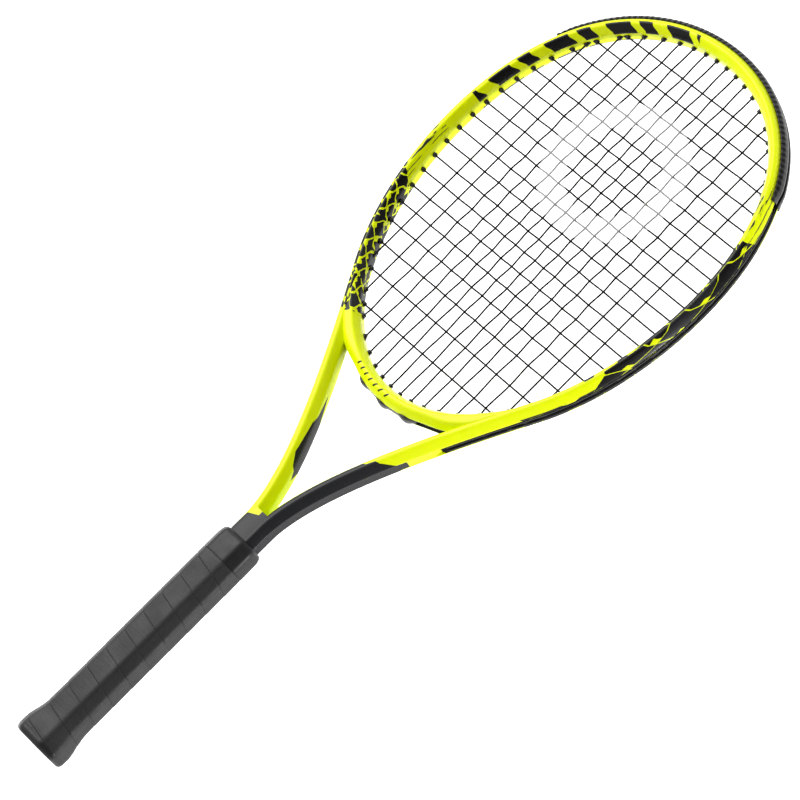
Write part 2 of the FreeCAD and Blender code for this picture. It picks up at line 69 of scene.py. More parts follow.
# Tube sections.
RAIL_WIDTH, RAIL_DEPTH = 11.4 * MM, 22.0 * MM
LEG_WIDTH, LEG_DEPTH = 12.9 * MM, 19.6 * MM
LEG_Y = 6.7 * MM
SIDE_FLAT, FACE_FLAT = 0.42, 0.3
GROOVE_DEPTH, GROOVE_MOUTH, GROOVE_FLOOR = 2.6 * MM, 3.3 * MM, 2.8 * MM
FRAME_START_X = 6.0 * MM
FRAME_VISIBLE_X = 170.0 * MM
GROOVE_SHALLOW = 0.02 * MM
GROOVE_START, GROOVE_FULL = 1.66, 1.72
SECTION_BLEND = (1.1, 2.0)
CORNER_RADIUS, CORNER_STEPS = 1.5 * MM, 4
BRIDGE_SINK, BRIDGE_FLARE = 0.5 * MM, 3.0 * MM
WEB_START, WEB_END, WEB_FORK = 0.8, 1.075, 3 * MM
STRIP_START, STRIP_END, BUMPER_START = 1.70, 2.575, 2.585

# Strings.
MAINS_PER_SIDE, CROSSES_PER_HALF, BRIDGE_MAINS = 8, 9, 5
MAIN_PITCH, MAIN_FAN = 10.3 * MM, 0.0402 * MM
CROSS_MIDDLE_X, CROSS_PITCH = 518.5 * MM, 13.3 * MM
CROSS_SPREAD_THROAT, CROSS_SPREAD_TIP = 3.52e-4 * MM, 1.15e-4 * MM
ANGLED_EXIT_Y = 42.0 * MM
STRING_SEAT = 0.75 * MM
STRING_INSIDE = 0.2 * MM
BRIDGE_RANGE = (math.radians(100), math.pi)
TURN_Z, TURN_DIP, TURN_STEPS = 0.7 * MM, 1.6 * MM, 14
STRING_STEPS = 230

# Guards: the strips' floor, the reach and pad places of the throat strip, and the profile of a
# barrel as (distance from the rail outwards, radius) in millimetres.
STRIP_FLOOR = 2.5 * MM
RIB_PITCH = 4.2 * MM
THROAT_REACH, PAD_SPREAD = 31 * MM, 4.6 * MM
PAD_PLACES = (-21 * MM, 0, 21 * MM)
BARREL_PROFILE = [(-5.0, 1.7), (0.2, 1.75), (1.1, 1.85), (1.75, 1.8), (2.15, 1.5), (2.25, 1.1),
                  (1.9, 0.75), (0.5, 0.72)]
BARREL_SIDES = 14

# Handle.
GRIP_Y, GRIP_Z, GRIP_BEVEL = 17.0 * MM, 14.2 * MM, 23.5 * MM
CAP_RIM_X = 5.5 * MM
WRAP_STEP_X, WRAP_STEP_LENGTH, WRAP_END_X = 177.95 * MM, 0.2 * MM, 184.0 * MM
WRAP_DROP, WRAP_THICKNESS, SEAM_START = 1.7 * MM, 1.75 * MM, 0.35
GRIP_ROUNDING = 2.6 * MM
HANDLE_SIDES, CAP_SIDES, BADGE_SIDES = 120, 96, 64
RECESS_RADIUS = 9.3 * MM
# The butt's swelling as (distance from the butt in millimetres, scale).
FLARE = [(0, 1.13), (3, 1.175), (6, 1.197), (10, 1.203), (15, 1.155), (20, 1.085), (25, 1.028),
         (29, 1.006), (33, 1.0)]
# The cap's rows as (x and outwards in millimetres between scale and share of the round recess).
CAP_ROWS = [(9.0, 1.19, -2.6, 0), (5.6, 1.19, -1.9, 0), (5.5, 1.19, 0.1, 0),
            (4.6, 1.192, 0.25, 0), (2.6, 1.175, 0.2, 0), (1.1, 1.145, 0.0, 0),
            (0.3, 1.10, -0.4, 0), (0.02, 1.05, -1.2, 0), (0.0, 0.95, -2.0, 0.1),
            (0.0, 0.7, 0, 0.75), (0.0, 0.6, 0, 1.0), (0.55, 0.6, 0, 1.0)]
# The badge's rings as (radius, depth) in millimetres.
BADGE_RINGS = [(9.1, 1.1), (9.1, 0.35), (8.8, 0.12), (7.9, 0.12), (7.7, 0.34), (7.4, 0.12),
               (5.2, 0.12), (5.0, 0.30), (4.7, 0.12), (0.6, 0.05)]
# The collar's wall as (x, outwards from the octagon) in millimetres.
COLLAR_LOOP = [(178.22, -1.0), (178.2, -0.2), (178.24, 0.05), (178.5, 0.12), (180.0, 0.12),
               (184.0, 0.1), (190.0, 0.05), (193.0, -0.05), (195.2, -0.35), (197.0, -0.95),
               (198.3, -1.8), (198.9, -2.8), (199.0, -3.3), (198.7, -3.45), (190.0, -3.45),
               (188.2, -3.0), (188.0, -1.4), (179.0, -1.15)]

# Lacquer: the count of corners from the inner middle at which each part of the section starts.
FACE_START, INNER_EDGE, OUTER_SIDE, GROOVE_SIDE = 1.3, 0.7, 3.40, 4.45
BAR_BLACK = (0.0055, 0.0055, 0.0060, 1.0)

# Studio.
FLOOR_Z, FLOOR_SIZE = -0.26, 30.0
LIGHT_TARGET = Vector((0.40, 0.0, 0.0))
KEY_PLACE, KEY_SIZE, KEY_POWER = Vector((0.0, -1.6, -0.14)), 0.2, 14.0
TOP_PLACE, TOP_SIZE, TOP_POWER = Vector((0.16, 0.90, 1.33)), 1.3, 24.0
DARK_SIDE = (0.10, -0.82, 0.56)
CAMERA_PLACE = (0.05210, -1.59307, 2.35071)
CAMERA_BACK = Vector((-0.10227, -0.55605, 0.82484))
CAMERA_RIGHT = Vector((0.70428, -0.62605, -0.33472))


# Curves, as whole arrays ------------------------------------------------------------------


def hoop_curve(angle):
    """Points and unit tangents, with the angle falling: x = c + a cos f - e cos 2f and
    y = b sin f + s sin 2f + g sin 3f."""
    angle = np.atleast_1d(np.asarray(angle, float))
    x = HOOP_CENTRE_X + HOOP_HALF_LENGTH * np.cos(angle) - HOOP_EGG * np.cos(2 * angle)
    y = (HOOP_HALF_WIDTH * np.sin(angle) + HOOP_SHOULDER * np.sin(2 * angle)
         + HOOP_FULLNESS * np.sin(3 * angle))
    dx = HOOP_HALF_LENGTH * np.sin(angle) - 2 * HOOP_EGG * np.sin(2 * angle)
    dy = -(HOOP_HALF_WIDTH * np.cos(angle) + 2 * HOOP_SHOULDER * np.cos(2 * angle)
           + 3 * HOOP_FULLNESS * np.cos(3 * angle))
    return np.stack([x, y], 1), unit(np.stack([dx, dy], 1))


def unit(vectors):
    """Each vector divided by its own length."""
    return vectors / np.linalg.norm(vectors, axis=-1, keepdims=True)


def arm_curve(t):
    """Points and unit tangents of the left arm, a cubic Bezier from the leg to the hoop."""
    t = np.atleast_1d(t)[:, None]
    end, end_tangent = (a[0] for a in hoop_curve(ARM_LEAVE))
    start = np.array([ARM_START, LEG_Y])
    low = start + [ARM_LOW_PULL, 0]
    high = end - end_tangent * ARM_HIGH_PULL
    u = 1 - t
    points = start * u**3 + low * 3 * u**2 * t + high * 3 * u * t**2 + end * t**3
    slopes = (low - start) * u**2 + (high - low) * 2 * u * t + (end - high) * t**2
    return points, unit(slopes)


def frame_curve(s):
    """Centreline of the whole tube: 0 to 1 is the left leg, to 2 the arm, to 3 the left half of
    the hoop, and 3 to 6 mirrors that back to the right leg's end."""
    s = np.atleast_1d(np.asarray(s, float))
    half = np.where(s > 3, 6 - s, s)
    leg_x = FRAME_START_X + half * (ARM_START - FRAME_START_X)
    points = np.stack([leg_x, np.full_like(leg_x, LEG_Y)], 1)
    tangents = np.tile([1.0, 0.0], (len(s), 1))
    for mask, curve in ((half > 1, lambda h: arm_curve(h - 1)),
                        (half > 2, lambda h: hoop_curve(ARM_LEAVE * (3 - h)))):
        if mask.any():
            points[mask], tangents[mask] = curve(half[mask])
    other = s > 3
    points[other, 1] *= -1
    tangents[other, 0] *= -1
    return points, tangents


def offset(curve, parameter, outwards, z=0.0):
    """Points beside a flat curve, as (n, 3): its own point plus the normal times outwards."""
    points, tangents = curve(parameter)
    normals = np.stack([-tangents[:, 1], tangents[:, 0]], 1)
    out = points + normals * np.broadcast_to(outwards, len(points))[:, None]
    return np.column_stack([out, np.broadcast_to(z, len(points))])


def locate(curve, low, high, axis, value, outwards):
    """Parameter where the offset curve's coordinate is the value, read off a fine table."""
    steps = np.linspace(low, high, 4001)
    reach = offset(curve, steps, outwards)[:, axis]
    order = np.argsort(reach)
    return float(np.interp(value, reach[order], steps[order]))


def smooth(value, low, high):
    """3 t squared less 2 t cubed, where t runs from 0 at low to 1 at high and stops there."""
    t = np.clip((np.asarray(value, float) - low) / (high - low), 0, 1)
    return t * t * (3 - 2 * t)


def arc_length(points):
    """Length up to each point: the running sum of the distances between neighbours."""
    return np.concatenate([[0], np.cumsum(np.linalg.norm(np.diff(points, axis=0), axis=1))])


# Meshes -----------------------------------------------------------------------------------


def grid_faces(rows, columns, wrap_rows):
    """Quads of a grid whose columns close on themselves, and the cell of each corner: quad (i, j)
    joins points (i, j), (i + 1, j), (i + 1, j + 1) and (i, j + 1)."""
    i, j = np.meshgrid(np.arange(rows if wrap_rows else rows - 1), np.arange(columns),
                       indexing="ij")
    i, j = i.ravel(), j.ravel()
    corners = [(i, j), (i + 1, j), (i + 1, j + 1), (i, j + 1)]
    quads = np.stack([(a % rows) * columns + b % columns for a, b in corners], 1)
    cells = np.stack([np.stack(c, 1) for c in corners], 1)
    return quads, cells


def six_volumes(a, b, c):
    """Six times the volume under triangles: the sum of each a times the cross of b and c."""
    return np.einsum("ij,ij->i", a, np.cross(b, c)).sum()


class Sheet:
    """Vertices, faces and UVs of one or more grids, gathered into one mesh."""

    def __init__(self):
        self.points, self.faces, self.uvs, self.count = [], [], [], 0

    def grid(self, points, u=None, v=None, wrap_rows=False):
        """Add a grid (rows, columns, 3) whose columns close on themselves. Unless the rows do so
        too, a fan round the mean point closes each end. Faces are turned to point outwards."""
        rows, columns = points.shape[:2]
        quads, cells = grid_faces(rows, columns, wrap_rows)
        u = np.linspace(0, 1, rows) if u is None else np.asarray(u, float)
        v = np.arange(columns + 1, dtype=float) if v is None else np.asarray(v, float)
        longer_u = np.append(u, 2 * u[-1] - u[-2])
        blocks = [(quads, np.stack([longer_u[cells[..., 0]], v[cells[..., 1]]], -1))]
        flat = points.reshape(-1, 3)
        a, b, c, d = (flat[quads[:, k]] for k in range(4))
        volume = six_volumes(a, b, c) + six_volumes(a, c, d)
        for row in () if wrap_rows else (0, rows - 1):
            ring = np.arange(columns) + row * columns
            hub = np.full(columns, len(flat))
            flat = np.vstack([flat, flat[ring].mean(0)])
            ends = (ring, np.roll(ring, -1)) if row else (np.roll(ring, -1), ring)
            fan = np.stack([hub, ends[1], ends[0]], 1)
            volume += six_volumes(*(flat[fan[:, k]] for k in range(3)))
            blocks.append((fan, np.full((columns, 3, 2), (u[row], v[0]))))
        for faces, uv in blocks:
            if volume < 0:
                faces, uv = faces[:, ::-1], uv[:, ::-1]
            self.faces.append(faces + self.count)
            self.uvs.append(uv)
        self.points.append(flat)
        self.count += len(flat)
        return self

    def build(self, name, smooth_angle=40):
        """One object at the origin, smooth but for edges sharper than the angle in degrees."""
        points = np.vstack(self.points)
        loops = np.concatenate([f.ravel() for f in self.faces])
        sizes = np.concatenate([np.full(len(f), f.shape[1]) for f in self.faces])
        uv = np.concatenate([c.reshape(-1, 2) for c in self.uvs])
        mesh = bpy.data.meshes.new(name)
        mesh.vertices.add(len(points))
        mesh.vertices.foreach_set("co", points.astype(np.float32).ravel())
        mesh.loops.add(len(loops))
        mesh.loops.foreach_set("vertex_index", loops.astype(np.int32))
        mesh.polygons.add(len(sizes))
        starts = np.concatenate([[0], np.cumsum(sizes)[:-1]])
        mesh.polygons.foreach_set("loop_start", starts.astype(np.int32))
        mesh.uv_layers.new(name="surface").data.foreach_set("uv", uv.astype(np.float32).ravel())
        mesh.update(calc_edges=True)
        mesh.validate()
        mesh.shade_smooth()
        mesh.set_sharp_from_angle(angle=math.radians(smooth_angle))
        piece = bpy.data.objects.new(name, mesh)
        bpy.context.scene.collection.objects.link(piece)
        return piece


def rounded_outline(corners, radius, steps):
    """Round each corner of an outline (rows, corners, 2) with a quadratic curve: (1 - t) squared
    of its start, 2 t (1 - t) of the corner and t squared of its end."""
    before = np.roll(corners, 1, 1) - corners
    after = np.roll(corners, -1, 1) - corners
    before_len = np.linalg.norm(before, axis=2, keepdims=True)
    after_len = np.linalg.norm(after, axis=2, keepdims=True)
    reach = np.minimum(radius, 0.45 * np.minimum(before_len, after_len))
    start = corners + before * reach / np.maximum(before_len, 1e-9)
    end = corners + after * reach / np.maximum(after_len, 1e-9)
    t = np.linspace(0, 1, steps)[None, None, :, None]
    curve = ((1 - t)**2 * start[:, :, None] + 2 * (1 - t) * t * corners[:, :, None]
             + t**2 * end[:, :, None])
    return curve.reshape(len(corners), -1, 2)


def corner_numbers(corners, steps):
    """V coordinate of each outline point: k + 0.42 to k + 0.58 round corner k."""
    spot = np.arange(corners)[:, None] + 0.5 + np.linspace(-0.08, 0.08, steps)[None]
    return np.append(spot.ravel(), corners + spot.ravel()[0])


def sweep(curve, parameters, outline):
    """Carry an outline (rows, points, 2) of (outwards, z) along a flat curve: the curve's point
    plus the normal times outwards, at height z."""
    points, tangents = curve(parameters)
    normals = np.stack([-tangents[:, 1], tangents[:, 0]], 1)
    flat = points[:, None] + normals[:, None] * outline[..., :1]
    return np.concatenate([flat, outline[..., 1:]], 2)


def tube(path, radius, sides=8):
    """A round tube along a path (n, 3) that never runs along Z: the path's point plus the radius
    times across cos f + up sin f, both square to the path."""
    tangent = unit(np.gradient(path, axis=0))
    across = unit(np.cross(tangent, [0.0, 0.0, 1.0]))
    up = np.cross(across, tangent)
    turn = np.linspace(0, 2 * math.pi, sides, endpoint=False)
    turn = turn[None, :, None]
    ring = across[:, None] * np.cos(turn) + up[:, None] * np.sin(turn)
    return path[:, None] + ring * np.broadcast_to(radius, len(path))[:, None, None]


# Sections ---------------------------------------------------------------------------------


def tube_corners(s):
    """Corners (rows, 12, 2) of the lacquered tube: a bevelled box with a groove outside."""
    half = np.where(s > 3, 6 - s, s)
    blend = smooth(half, *SECTION_BLEND)
    a = (LEG_WIDTH + (RAIL_WIDTH - LEG_WIDTH) * blend) / 2
    c = (LEG_DEPTH + (RAIL_DEPTH - LEG_DEPTH) * blend) / 2
    share = smooth(half, GROOVE_START, GROOVE_FULL)
    return box_corners(a, c, GROOVE_SHALLOW + (GROOVE_DEPTH - GROOVE_SHALLOW) * share)


def box_corners(a, c, groove):
    """Corners of a bevelled box of half width a and half depth c, grooved on its outer side."""
    half = [(a - groove, GROOVE_FLOOR), (a, GROOVE_MOUTH), (a, SIDE_FLAT * c), (FACE_FLAT * a, c),
            (-FACE_FLAT * a, c), (-a, SIDE_FLAT * c)]
    return stacked(half + [(n, -z) for n, z in reversed(half)], len(a))


def stacked(pairs, rows):
    """Corners (rows, count, 2) from (outwards, z) pairs that hold one value or one a row."""
    return np.stack([np.stack([np.broadcast_to(value, rows) for value in pair], 1)
                     for pair in pairs], 1)


def channel(half, rows):
    """Corners of a strip's section from its upper half, mirrored below z = 0."""
    return stacked([(n, -z) for n, z in half] + list(reversed(half)), rows)


# Materials --------------------------------------------------------------------------------


class Paint:
    """Node helper: one material, with short calls for the nodes that its pattern needs."""

    def __init__(self, name):
        self.material = bpy.data.materials.new(name)
        self.material.use_nodes = True
        self.tree = self.material.node_tree
        self.shader = self.tree.nodes["Principled BSDF"]
        self.place = self.tree.nodes.new("ShaderNodeTexCoord")
        self.object = self.place.outputs["Object"]
        self.uv = self.place.outputs["UV"]

    def put(self, socket, value):
        if isinstance(value, bpy.types.NodeSocket):
            self.tree.links.new(value, socket)
        elif value is not None:
            socket.default_value = value

    def math(self, operation, first, second=None, clamp=False):
        node = self.tree.nodes.new("ShaderNodeMath")
        node.operation = operation
        node.use_clamp = clamp
        self.put(node.inputs[0], first)
        self.put(node.inputs[1], second)
        return node.outputs[0]

    def split(self, vector):
        node = self.tree.nodes.new("ShaderNodeSeparateXYZ")
        self.put(node.inputs[0], vector)
        return node.outputs

    def above(self, value, edge, soft=0.0001):
        """0 below the edge and 1 above it."""
        node = self.tree.nodes.new("ShaderNodeMapRange")
        node.interpolation_type = "SMOOTHSTEP"
        self.put(node.inputs["Value"], value)
        if isinstance(edge, bpy.types.NodeSocket):
            self.put(node.inputs["From Min"], self.math("SUBTRACT", edge, soft))
            self.put(node.inputs["From Max"], self.math("ADD", edge, soft))
        else:
            self.put(node.inputs["From Min"], edge - soft)
            self.put(node.inputs["From Max"], edge + soft)
        return node.outputs["Result"]

    def between(self, value, low, high, soft=0.0001):
        """1 from the low edge to the high one, and 0 elsewhere."""
        return self.math("SUBTRACT", self.above(value, low, soft),
                         self.above(value, high, soft), True)

    def outside(self, mask):
        return self.math("SUBTRACT", 1.0, mask)

    def both(self, *masks):
        """1 where all the masks are 1."""
        out = masks[0]
        for mask in masks[1:]:
            out = self.math("MULTIPLY", out, mask)
        return out

    def either(self, *masks):
        """1 where any of the masks is 1."""
        out = masks[0]
        for mask in masks[1:]:
            out = self.math("MAXIMUM", out, mask)
        return out

    def mix(self, share, first, second):
        node = self.tree.nodes.new("ShaderNodeMix")
        node.data_type = "RGBA"
        self.put(node.inputs["Factor"], share)
        self.put(node.inputs["A"], first)
        self.put(node.inputs["B"], second)
        return node.outputs["Result"]

    def mapped(self, vector, scale=(1, 1, 1), turn=(0, 0, 0), move=(0, 0, 0)):
        node = self.tree.nodes.new("ShaderNodeMapping")
        self.put(node.inputs["Vector"], vector)
        self.put(node.inputs["Scale"], scale)
        self.put(node.inputs["Rotation"], turn)
        self.put(node.inputs["Location"], move)
        return node.outputs[0]

    def noise(self, scale, detail=3.0, vector=None, distortion=0.0):
        node = self.tree.nodes.new("ShaderNodeTexNoise")
        self.put(node.inputs["Vector"], self.object if vector is None else vector)
        self.put(node.inputs["Scale"], scale)
        self.put(node.inputs["Detail"], detail)
        self.put(node.inputs["Distortion"], distortion)
        return node.outputs["Fac"]

    def voronoi(self, scale, feature="F1"):
        node = self.tree.nodes.new("ShaderNodeTexVoronoi")
        node.feature = feature
        self.put(node.inputs["Vector"], self.object)
        self.put(node.inputs["Scale"], scale)
        return node.outputs["Distance"]

    def scaled(self, value, factor, shift=0.0):
        """The value times the factor, plus the shift."""
        return self.math("ADD", self.math("MULTIPLY", value, factor), shift)

    def bump(self, height, strength, distance):
        node = self.tree.nodes.new("ShaderNodeBump")
        self.put(node.inputs["Height"], height)
        node.inputs["Strength"].default_value = strength
        node.inputs["Distance"].default_value = distance
        self.tree.links.new(node.outputs["Normal"], self.shader.inputs["Normal"])

    def finish(self, colour, roughness, **sockets):
        self.put(self.shader.inputs["Base Color"], colour)
        self.put(self.shader.inputs["Roughness"], roughness)
        for name, value in sockets.items():
            self.shader.inputs[name.replace("_", " ")].default_value = value
        return self.material


def lacquer_material(settings):
    """Lime lacquer with charcoal panels, slanted bars and splinters. U is the length along the
    tube from the tip, positive on the right, and V counts the section's corners, so that
    around = |V - 6| is 0 inside the hoop, 2 on a face and 4 on the outer side."""
    paint = Paint("lacquer")
    lime = tuple(settings.lime) + (1.0,)
    charcoal = tuple(settings.charcoal) + (1.0,)
    u, v, _ = paint.split(paint.uv)
    x, y, _ = paint.split(paint.object)
    around = paint.math("ABSOLUTE", paint.math("SUBTRACT", v, 6.0))
    left = paint.above(y, 0.0)
    right = paint.outside(left)

    charcoals, blacks = shoulder_splinters(paint, u, x, around, left, right)
    charcoals.append(arm_panels(paint, x, y, around, left, right))
    blacks += [tip_bars(paint, u, around, left), bridge_hatch(paint, x, y, u, around)]
    grit = paint.noise(900.0, 3.0)
    dark = paint.mix(grit, charcoal, tuple(c * 1.5 for c in charcoal[:3]) + (1.0,))
    colour = paint.mix(paint.either(*charcoals), lime, dark)
    colour = paint.mix(paint.either(*blacks), colour, BAR_BLACK)

    cloud = paint.noise(26.0, 3.0)
    deeper = paint.mix(cloud, (0.80, 0.80, 0.80, 1), (1.0, 1.0, 1.0, 1))
    tint = paint.tree.nodes.new("ShaderNodeMix")
    tint.data_type = "RGBA"
    tint.blend_type = "MULTIPLY"
    tint.inputs["Factor"].default_value = 0.25
    paint.put(tint.inputs["A"], colour)
    paint.put(tint.inputs["B"], deeper)
    rough = paint.scaled(paint.noise(140.0, 4.0), 0.10, 0.22)
    paint.bump(paint.noise(420.0, 3.0), 0.05, 0.0002)
    return paint.finish(tint.outputs["Result"], rough, Specular_IOR_Level=0.16, Coat_Weight=0.05,
                        Coat_Roughness=0.06)


def arm_panels(paint, x, y, around, left, right):
    """Charcoal on the right arm's face and outside, a sliver inside the left arm, and a shield
    above the handle. A thin lime line stays on the right arm's inner edge."""
    end = paint.scaled(paint.math("MINIMUM", around, 4.5), 0.0070, 0.2825)
    panel = paint.both(right, paint.between(x, 0.19, end), paint.above(around, 1.42, 0.03))
    point = paint.scaled(x, -26.0, 8.15)
    start = paint.scaled(around, 0.014, 0.2515)
    sliver = paint.both(left, paint.above(x, start), paint.above(point, around, 0.03))
    slope = paint.scaled(y, -0.45, 0.2185)
    edge = paint.scaled(x, -0.30, 0.0732)
    shield = paint.both(paint.above(slope, x), paint.above(edge, y),
                        paint.above(around, FACE_START, 0.03))
    return paint.either(panel, sliver, shield)


def strokes(paint, value, low, high, soft=0.012):
    """1 where the fraction of the value lies between the limits: stripes of even spacing."""
    return paint.between(paint.math("FRACT", value), low, high, soft)


def slanted(paint, u, around, pitch, slope, drift):
    """Counts stripes along the tube that cross it at a slope; the drift bends them."""
    across = paint.scaled(around, slope)
    return paint.math("ADD", paint.math("ADD", paint.scaled(u, 1 / pitch), across), drift)


def shoulder_splinters(paint, u, x, around, left, right):
    """Dark bands on both shoulders, crossed by two families of thin lime lines with filled lime
    splinters between them. Towards the tip they break up into long slanted scratches."""
    wander = paint.noise(9.0, 2.0)
    jitter = paint.noise(55.0, 2.0)
    rising = slanted(paint, u, around, 0.038, 0.46, paint.scaled(wander, 1.7))
    falling = slanted(paint, u, around, 0.053, -0.62, paint.scaled(wander, -2.3))
    splinters = paint.both(strokes(paint, rising, 0.80, 1.0), strokes(paint, falling, 0.02, 0.30))
    wide_cuts = paint.either(strokes(paint, rising, 0.0, 0.045),
                             strokes(paint, falling, 0.0, 0.035), splinters)
    steep = slanted(paint, u, around, 0.0135, 0.55, paint.scaled(jitter, 0.9))
    shallow = slanted(paint, u, around, 0.0190, -0.80, paint.scaled(jitter, -1.3))
    splinters = paint.both(strokes(paint, steep, 0.70, 1.0), strokes(paint, shallow, 0.05, 0.35))
    close_cuts = paint.either(strokes(paint, steep, 0.0, 0.13),
                              strokes(paint, shallow, 0.0, 0.12), splinters)
    uncut_right, uncut_left = paint.outside(wide_cuts), paint.outside(close_cuts)

    slope = paint.scaled(paint.math("MINIMUM", around, 4.5), 0.0040)
    corner = paint.both(right, paint.above(x, 0.434),
                        paint.above(paint.scaled(x, -62.0, 28.9), around, 0.03),
                        paint.above(around, 0.55, 0.05))
    band_right = paint.both(right, paint.above(x, paint.scaled(slope, -3.1, 0.478)),
                            paint.above(paint.scaled(slope, 1.0, 0.568), x),
                            paint.above(around, INNER_EDGE, 0.05))
    band_left = paint.both(left, paint.above(x, paint.scaled(slope, -0.75, 0.372)),
                           paint.above(paint.scaled(slope, 1.2, 0.462), x))
    band = paint.either(paint.both(band_right, uncut_right), paint.both(band_left, uncut_left))
    deep = paint.both(band, strokes(paint, paint.scaled(falling, 0.5), 0.0, 0.55))

    drift = paint.scaled(paint.noise(30.0, 3.0), 1.4)
    scratch = slanted(paint, u, around, 0.058, 1.9, drift)
    grain = paint.noise(1.0, 3.0, paint.mapped(paint.uv, scale=(60.0, 3.0, 1.0)))
    thin_out = paint.either(paint.both(left, paint.between(x, 0.466, 0.512, 0.0004)),
                            paint.both(right, paint.between(x, 0.568, 0.618, 0.0004)))
    fade = paint.both(thin_out, strokes(paint, scratch, 0.0, 0.22, 0.03),
                      paint.above(grain, 0.43, 0.04), paint.above(around, INNER_EDGE, 0.05))

    flank = paint.above(around, OUTER_SIDE, 0.04)
    flank_right = paint.both(right, flank, paint.between(x, 0.386, 0.572, 0.0004), uncut_right)
    flank_left = paint.both(left, flank, paint.between(x, 0.372, 0.468, 0.0004), uncut_left)
    slot = paint.both(paint.above(around, GROOVE_SIDE, 0.03), paint.above(x, 0.337, 0.0004))
    return [band, fade, corner], [deep, flank_right, flank_left, slot]


def tip_bars(paint, u, around, left):
    """Slanted black bars on the left shoulder's inner edge, wide and narrow by turns."""
    slant = paint.scaled(around, 0.0042)
    phase = paint.math("FRACT", paint.scaled(paint.math("ADD", u, slant), 1 / 0.0470))
    wide = paint.both(paint.between(phase, 0.06, 0.46, 0.006), paint.above(1.75, around, 0.02))
    narrow = paint.both(paint.between(phase, 0.60, 0.82, 0.006), paint.above(2.3, around, 0.02))
    bars = paint.either(wide, narrow)
    return paint.both(bars, paint.between(u, -0.206, -0.022), left, paint.above(around, 0.45, 0.02))


def bridge_hatch(paint, x, y, u, around):
    """Short slanted strokes on the bridge's left half."""
    along = paint.math("ADD", y, paint.scaled(x, 0.8))
    hatch = strokes(paint, paint.scaled(along, 1 / 0.0066), 0.2, 0.46, 0.02)
    return paint.both(hatch, paint.between(y, -0.006, 0.033),
                      paint.between(around, 1.55, 2.6, 0.03), paint.between(u, 4.0, 6.5))


def moulded_material(name, colour, roughness, grain=900.0, strength=0.25, spread=0.25, coat=0.0):
    """Moulded plastic or rubber: fine grain, faint clouds and a worn, uneven gloss."""
    paint = Paint(name)
    cloud = paint.noise(35.0, 4.0)
    dark = tuple(c * (1 - spread) for c in colour) + (1.0,)
    light = tuple(min(1.0, c * (1 + spread)) for c in colour) + (1.0,)
    base = paint.mix(cloud, dark, light)
    rough = paint.scaled(paint.noise(180.0, 5.0), 0.22, roughness - 0.11)
    paint.bump(paint.noise(grain, 4.0), strength, 0.0002)
    return paint.finish(base, rough, Coat_Weight=coat, Specular_IOR_Level=0.28)


def string_material(settings):
    """Black monofilament; a plain ring of pale ink is stencilled on the string bed."""
    paint = Paint("string_monofilament")
    x, y, _ = paint.split(paint.object)
    dx = paint.math("SUBTRACT", x, settings.ring_x)
    reach = paint.math("SQRT", paint.math("ADD", paint.math("MULTIPLY", dx, dx),
                                          paint.math("MULTIPLY", y, y)))
    wobble = paint.scaled(paint.noise(900.0, 3.0), 0.0016, -0.0008)
    reach = paint.math("ADD", reach, wobble)
    ring = paint.between(reach, settings.ring_inner, settings.ring_outer, 0.0006)
    worn = paint.scaled(paint.above(paint.noise(1500.0, 3.0), 0.30, 0.05), 0.25, 0.75)
    ink = paint.mix(paint.noise(300.0, 3.0), (0.26, 0.26, 0.265, 1), (0.34, 0.34, 0.345, 1))
    base = paint.mix(paint.noise(700.0, 2.0), (0.002, 0.002, 0.002, 1), (0.006, 0.006, 0.006, 1))
    colour = paint.mix(paint.math("MULTIPLY", ring, worn), base, ink)
    rough = paint.scaled(ring, 0.25, 0.42)
    paint.bump(paint.noise(2500.0, 2.0), 0.1, 0.0001)
    return paint.finish(colour, rough, Specular_IOR_Level=0.08)


def leather_material():
    """Synthetic leather grip: pebbled grain, pores and darker and lighter patches at random."""
    paint = Paint("grip_leather")
    pebble = paint.voronoi(1150.0, feature="SMOOTH_F1")
    crease = paint.noise(260.0, 6.0, distortion=0.6)
    pores = paint.above(paint.noise(1900.0, 2.0), 0.66, 0.04)
    height = paint.math("ADD", paint.math("MULTIPLY", pebble, 0.6),
                        paint.math("MULTIPLY", crease, 0.5))
    height = paint.math("SUBTRACT", height, paint.math("MULTIPLY", pores, 0.25))
    shade = paint.noise(24.0, 5.0)
    colour = paint.mix(shade, (0.0045, 0.0045, 0.0048, 1), (0.0105, 0.0105, 0.0108, 1))
    colour = paint.mix(paint.math("MULTIPLY", pores, 0.4), colour, (0.002, 0.002, 0.002, 1))
    rough = paint.scaled(paint.noise(70.0, 5.0), 0.25, 0.42)
    stretched = paint.mapped(paint.object, scale=(900.0, 70.0, 70.0), turn=(0, 0, -0.17))
    ruck = paint.noise(1.0, 5.0, stretched, 0.4)
    height = paint.math("ADD", height, paint.math("MULTIPLY", ruck, 1.3))
    paint.bump(height, 0.5, 0.0003)
    return paint.finish(colour, rough, Specular_IOR_Level=0.42, Sheen_Weight=0.02)


def foam_material():
    """Pale moulded foam with a fine pattern of cells."""
    paint = Paint("pallet_foam")
    cells = paint.voronoi(900.0)
    colour = paint.mix(cells, (0.20, 0.20, 0.19, 1), (0.36, 0.36, 0.34, 1))
    paint.bump(cells, 0.4, 0.0003)
    return paint.finish(colour, paint.scaled(paint.noise(80.0), 0.2, 0.7))


def wire_material():
    """Drawn steel wire with faint lines along it."""
    paint = Paint("staple_wire")
    lines = paint.noise(60.0, 4.0, paint.mapped(paint.object, scale=(40.0, 1.0, 1.0)))
    colour = paint.mix(lines, (0.42, 0.42, 0.43, 1), (0.68, 0.68, 0.7, 1))
    paint.bump(lines, 0.2, 0.0001)
    return paint.finish(colour, paint.scaled(lines, 0.2, 0.22), Metallic=1.0)


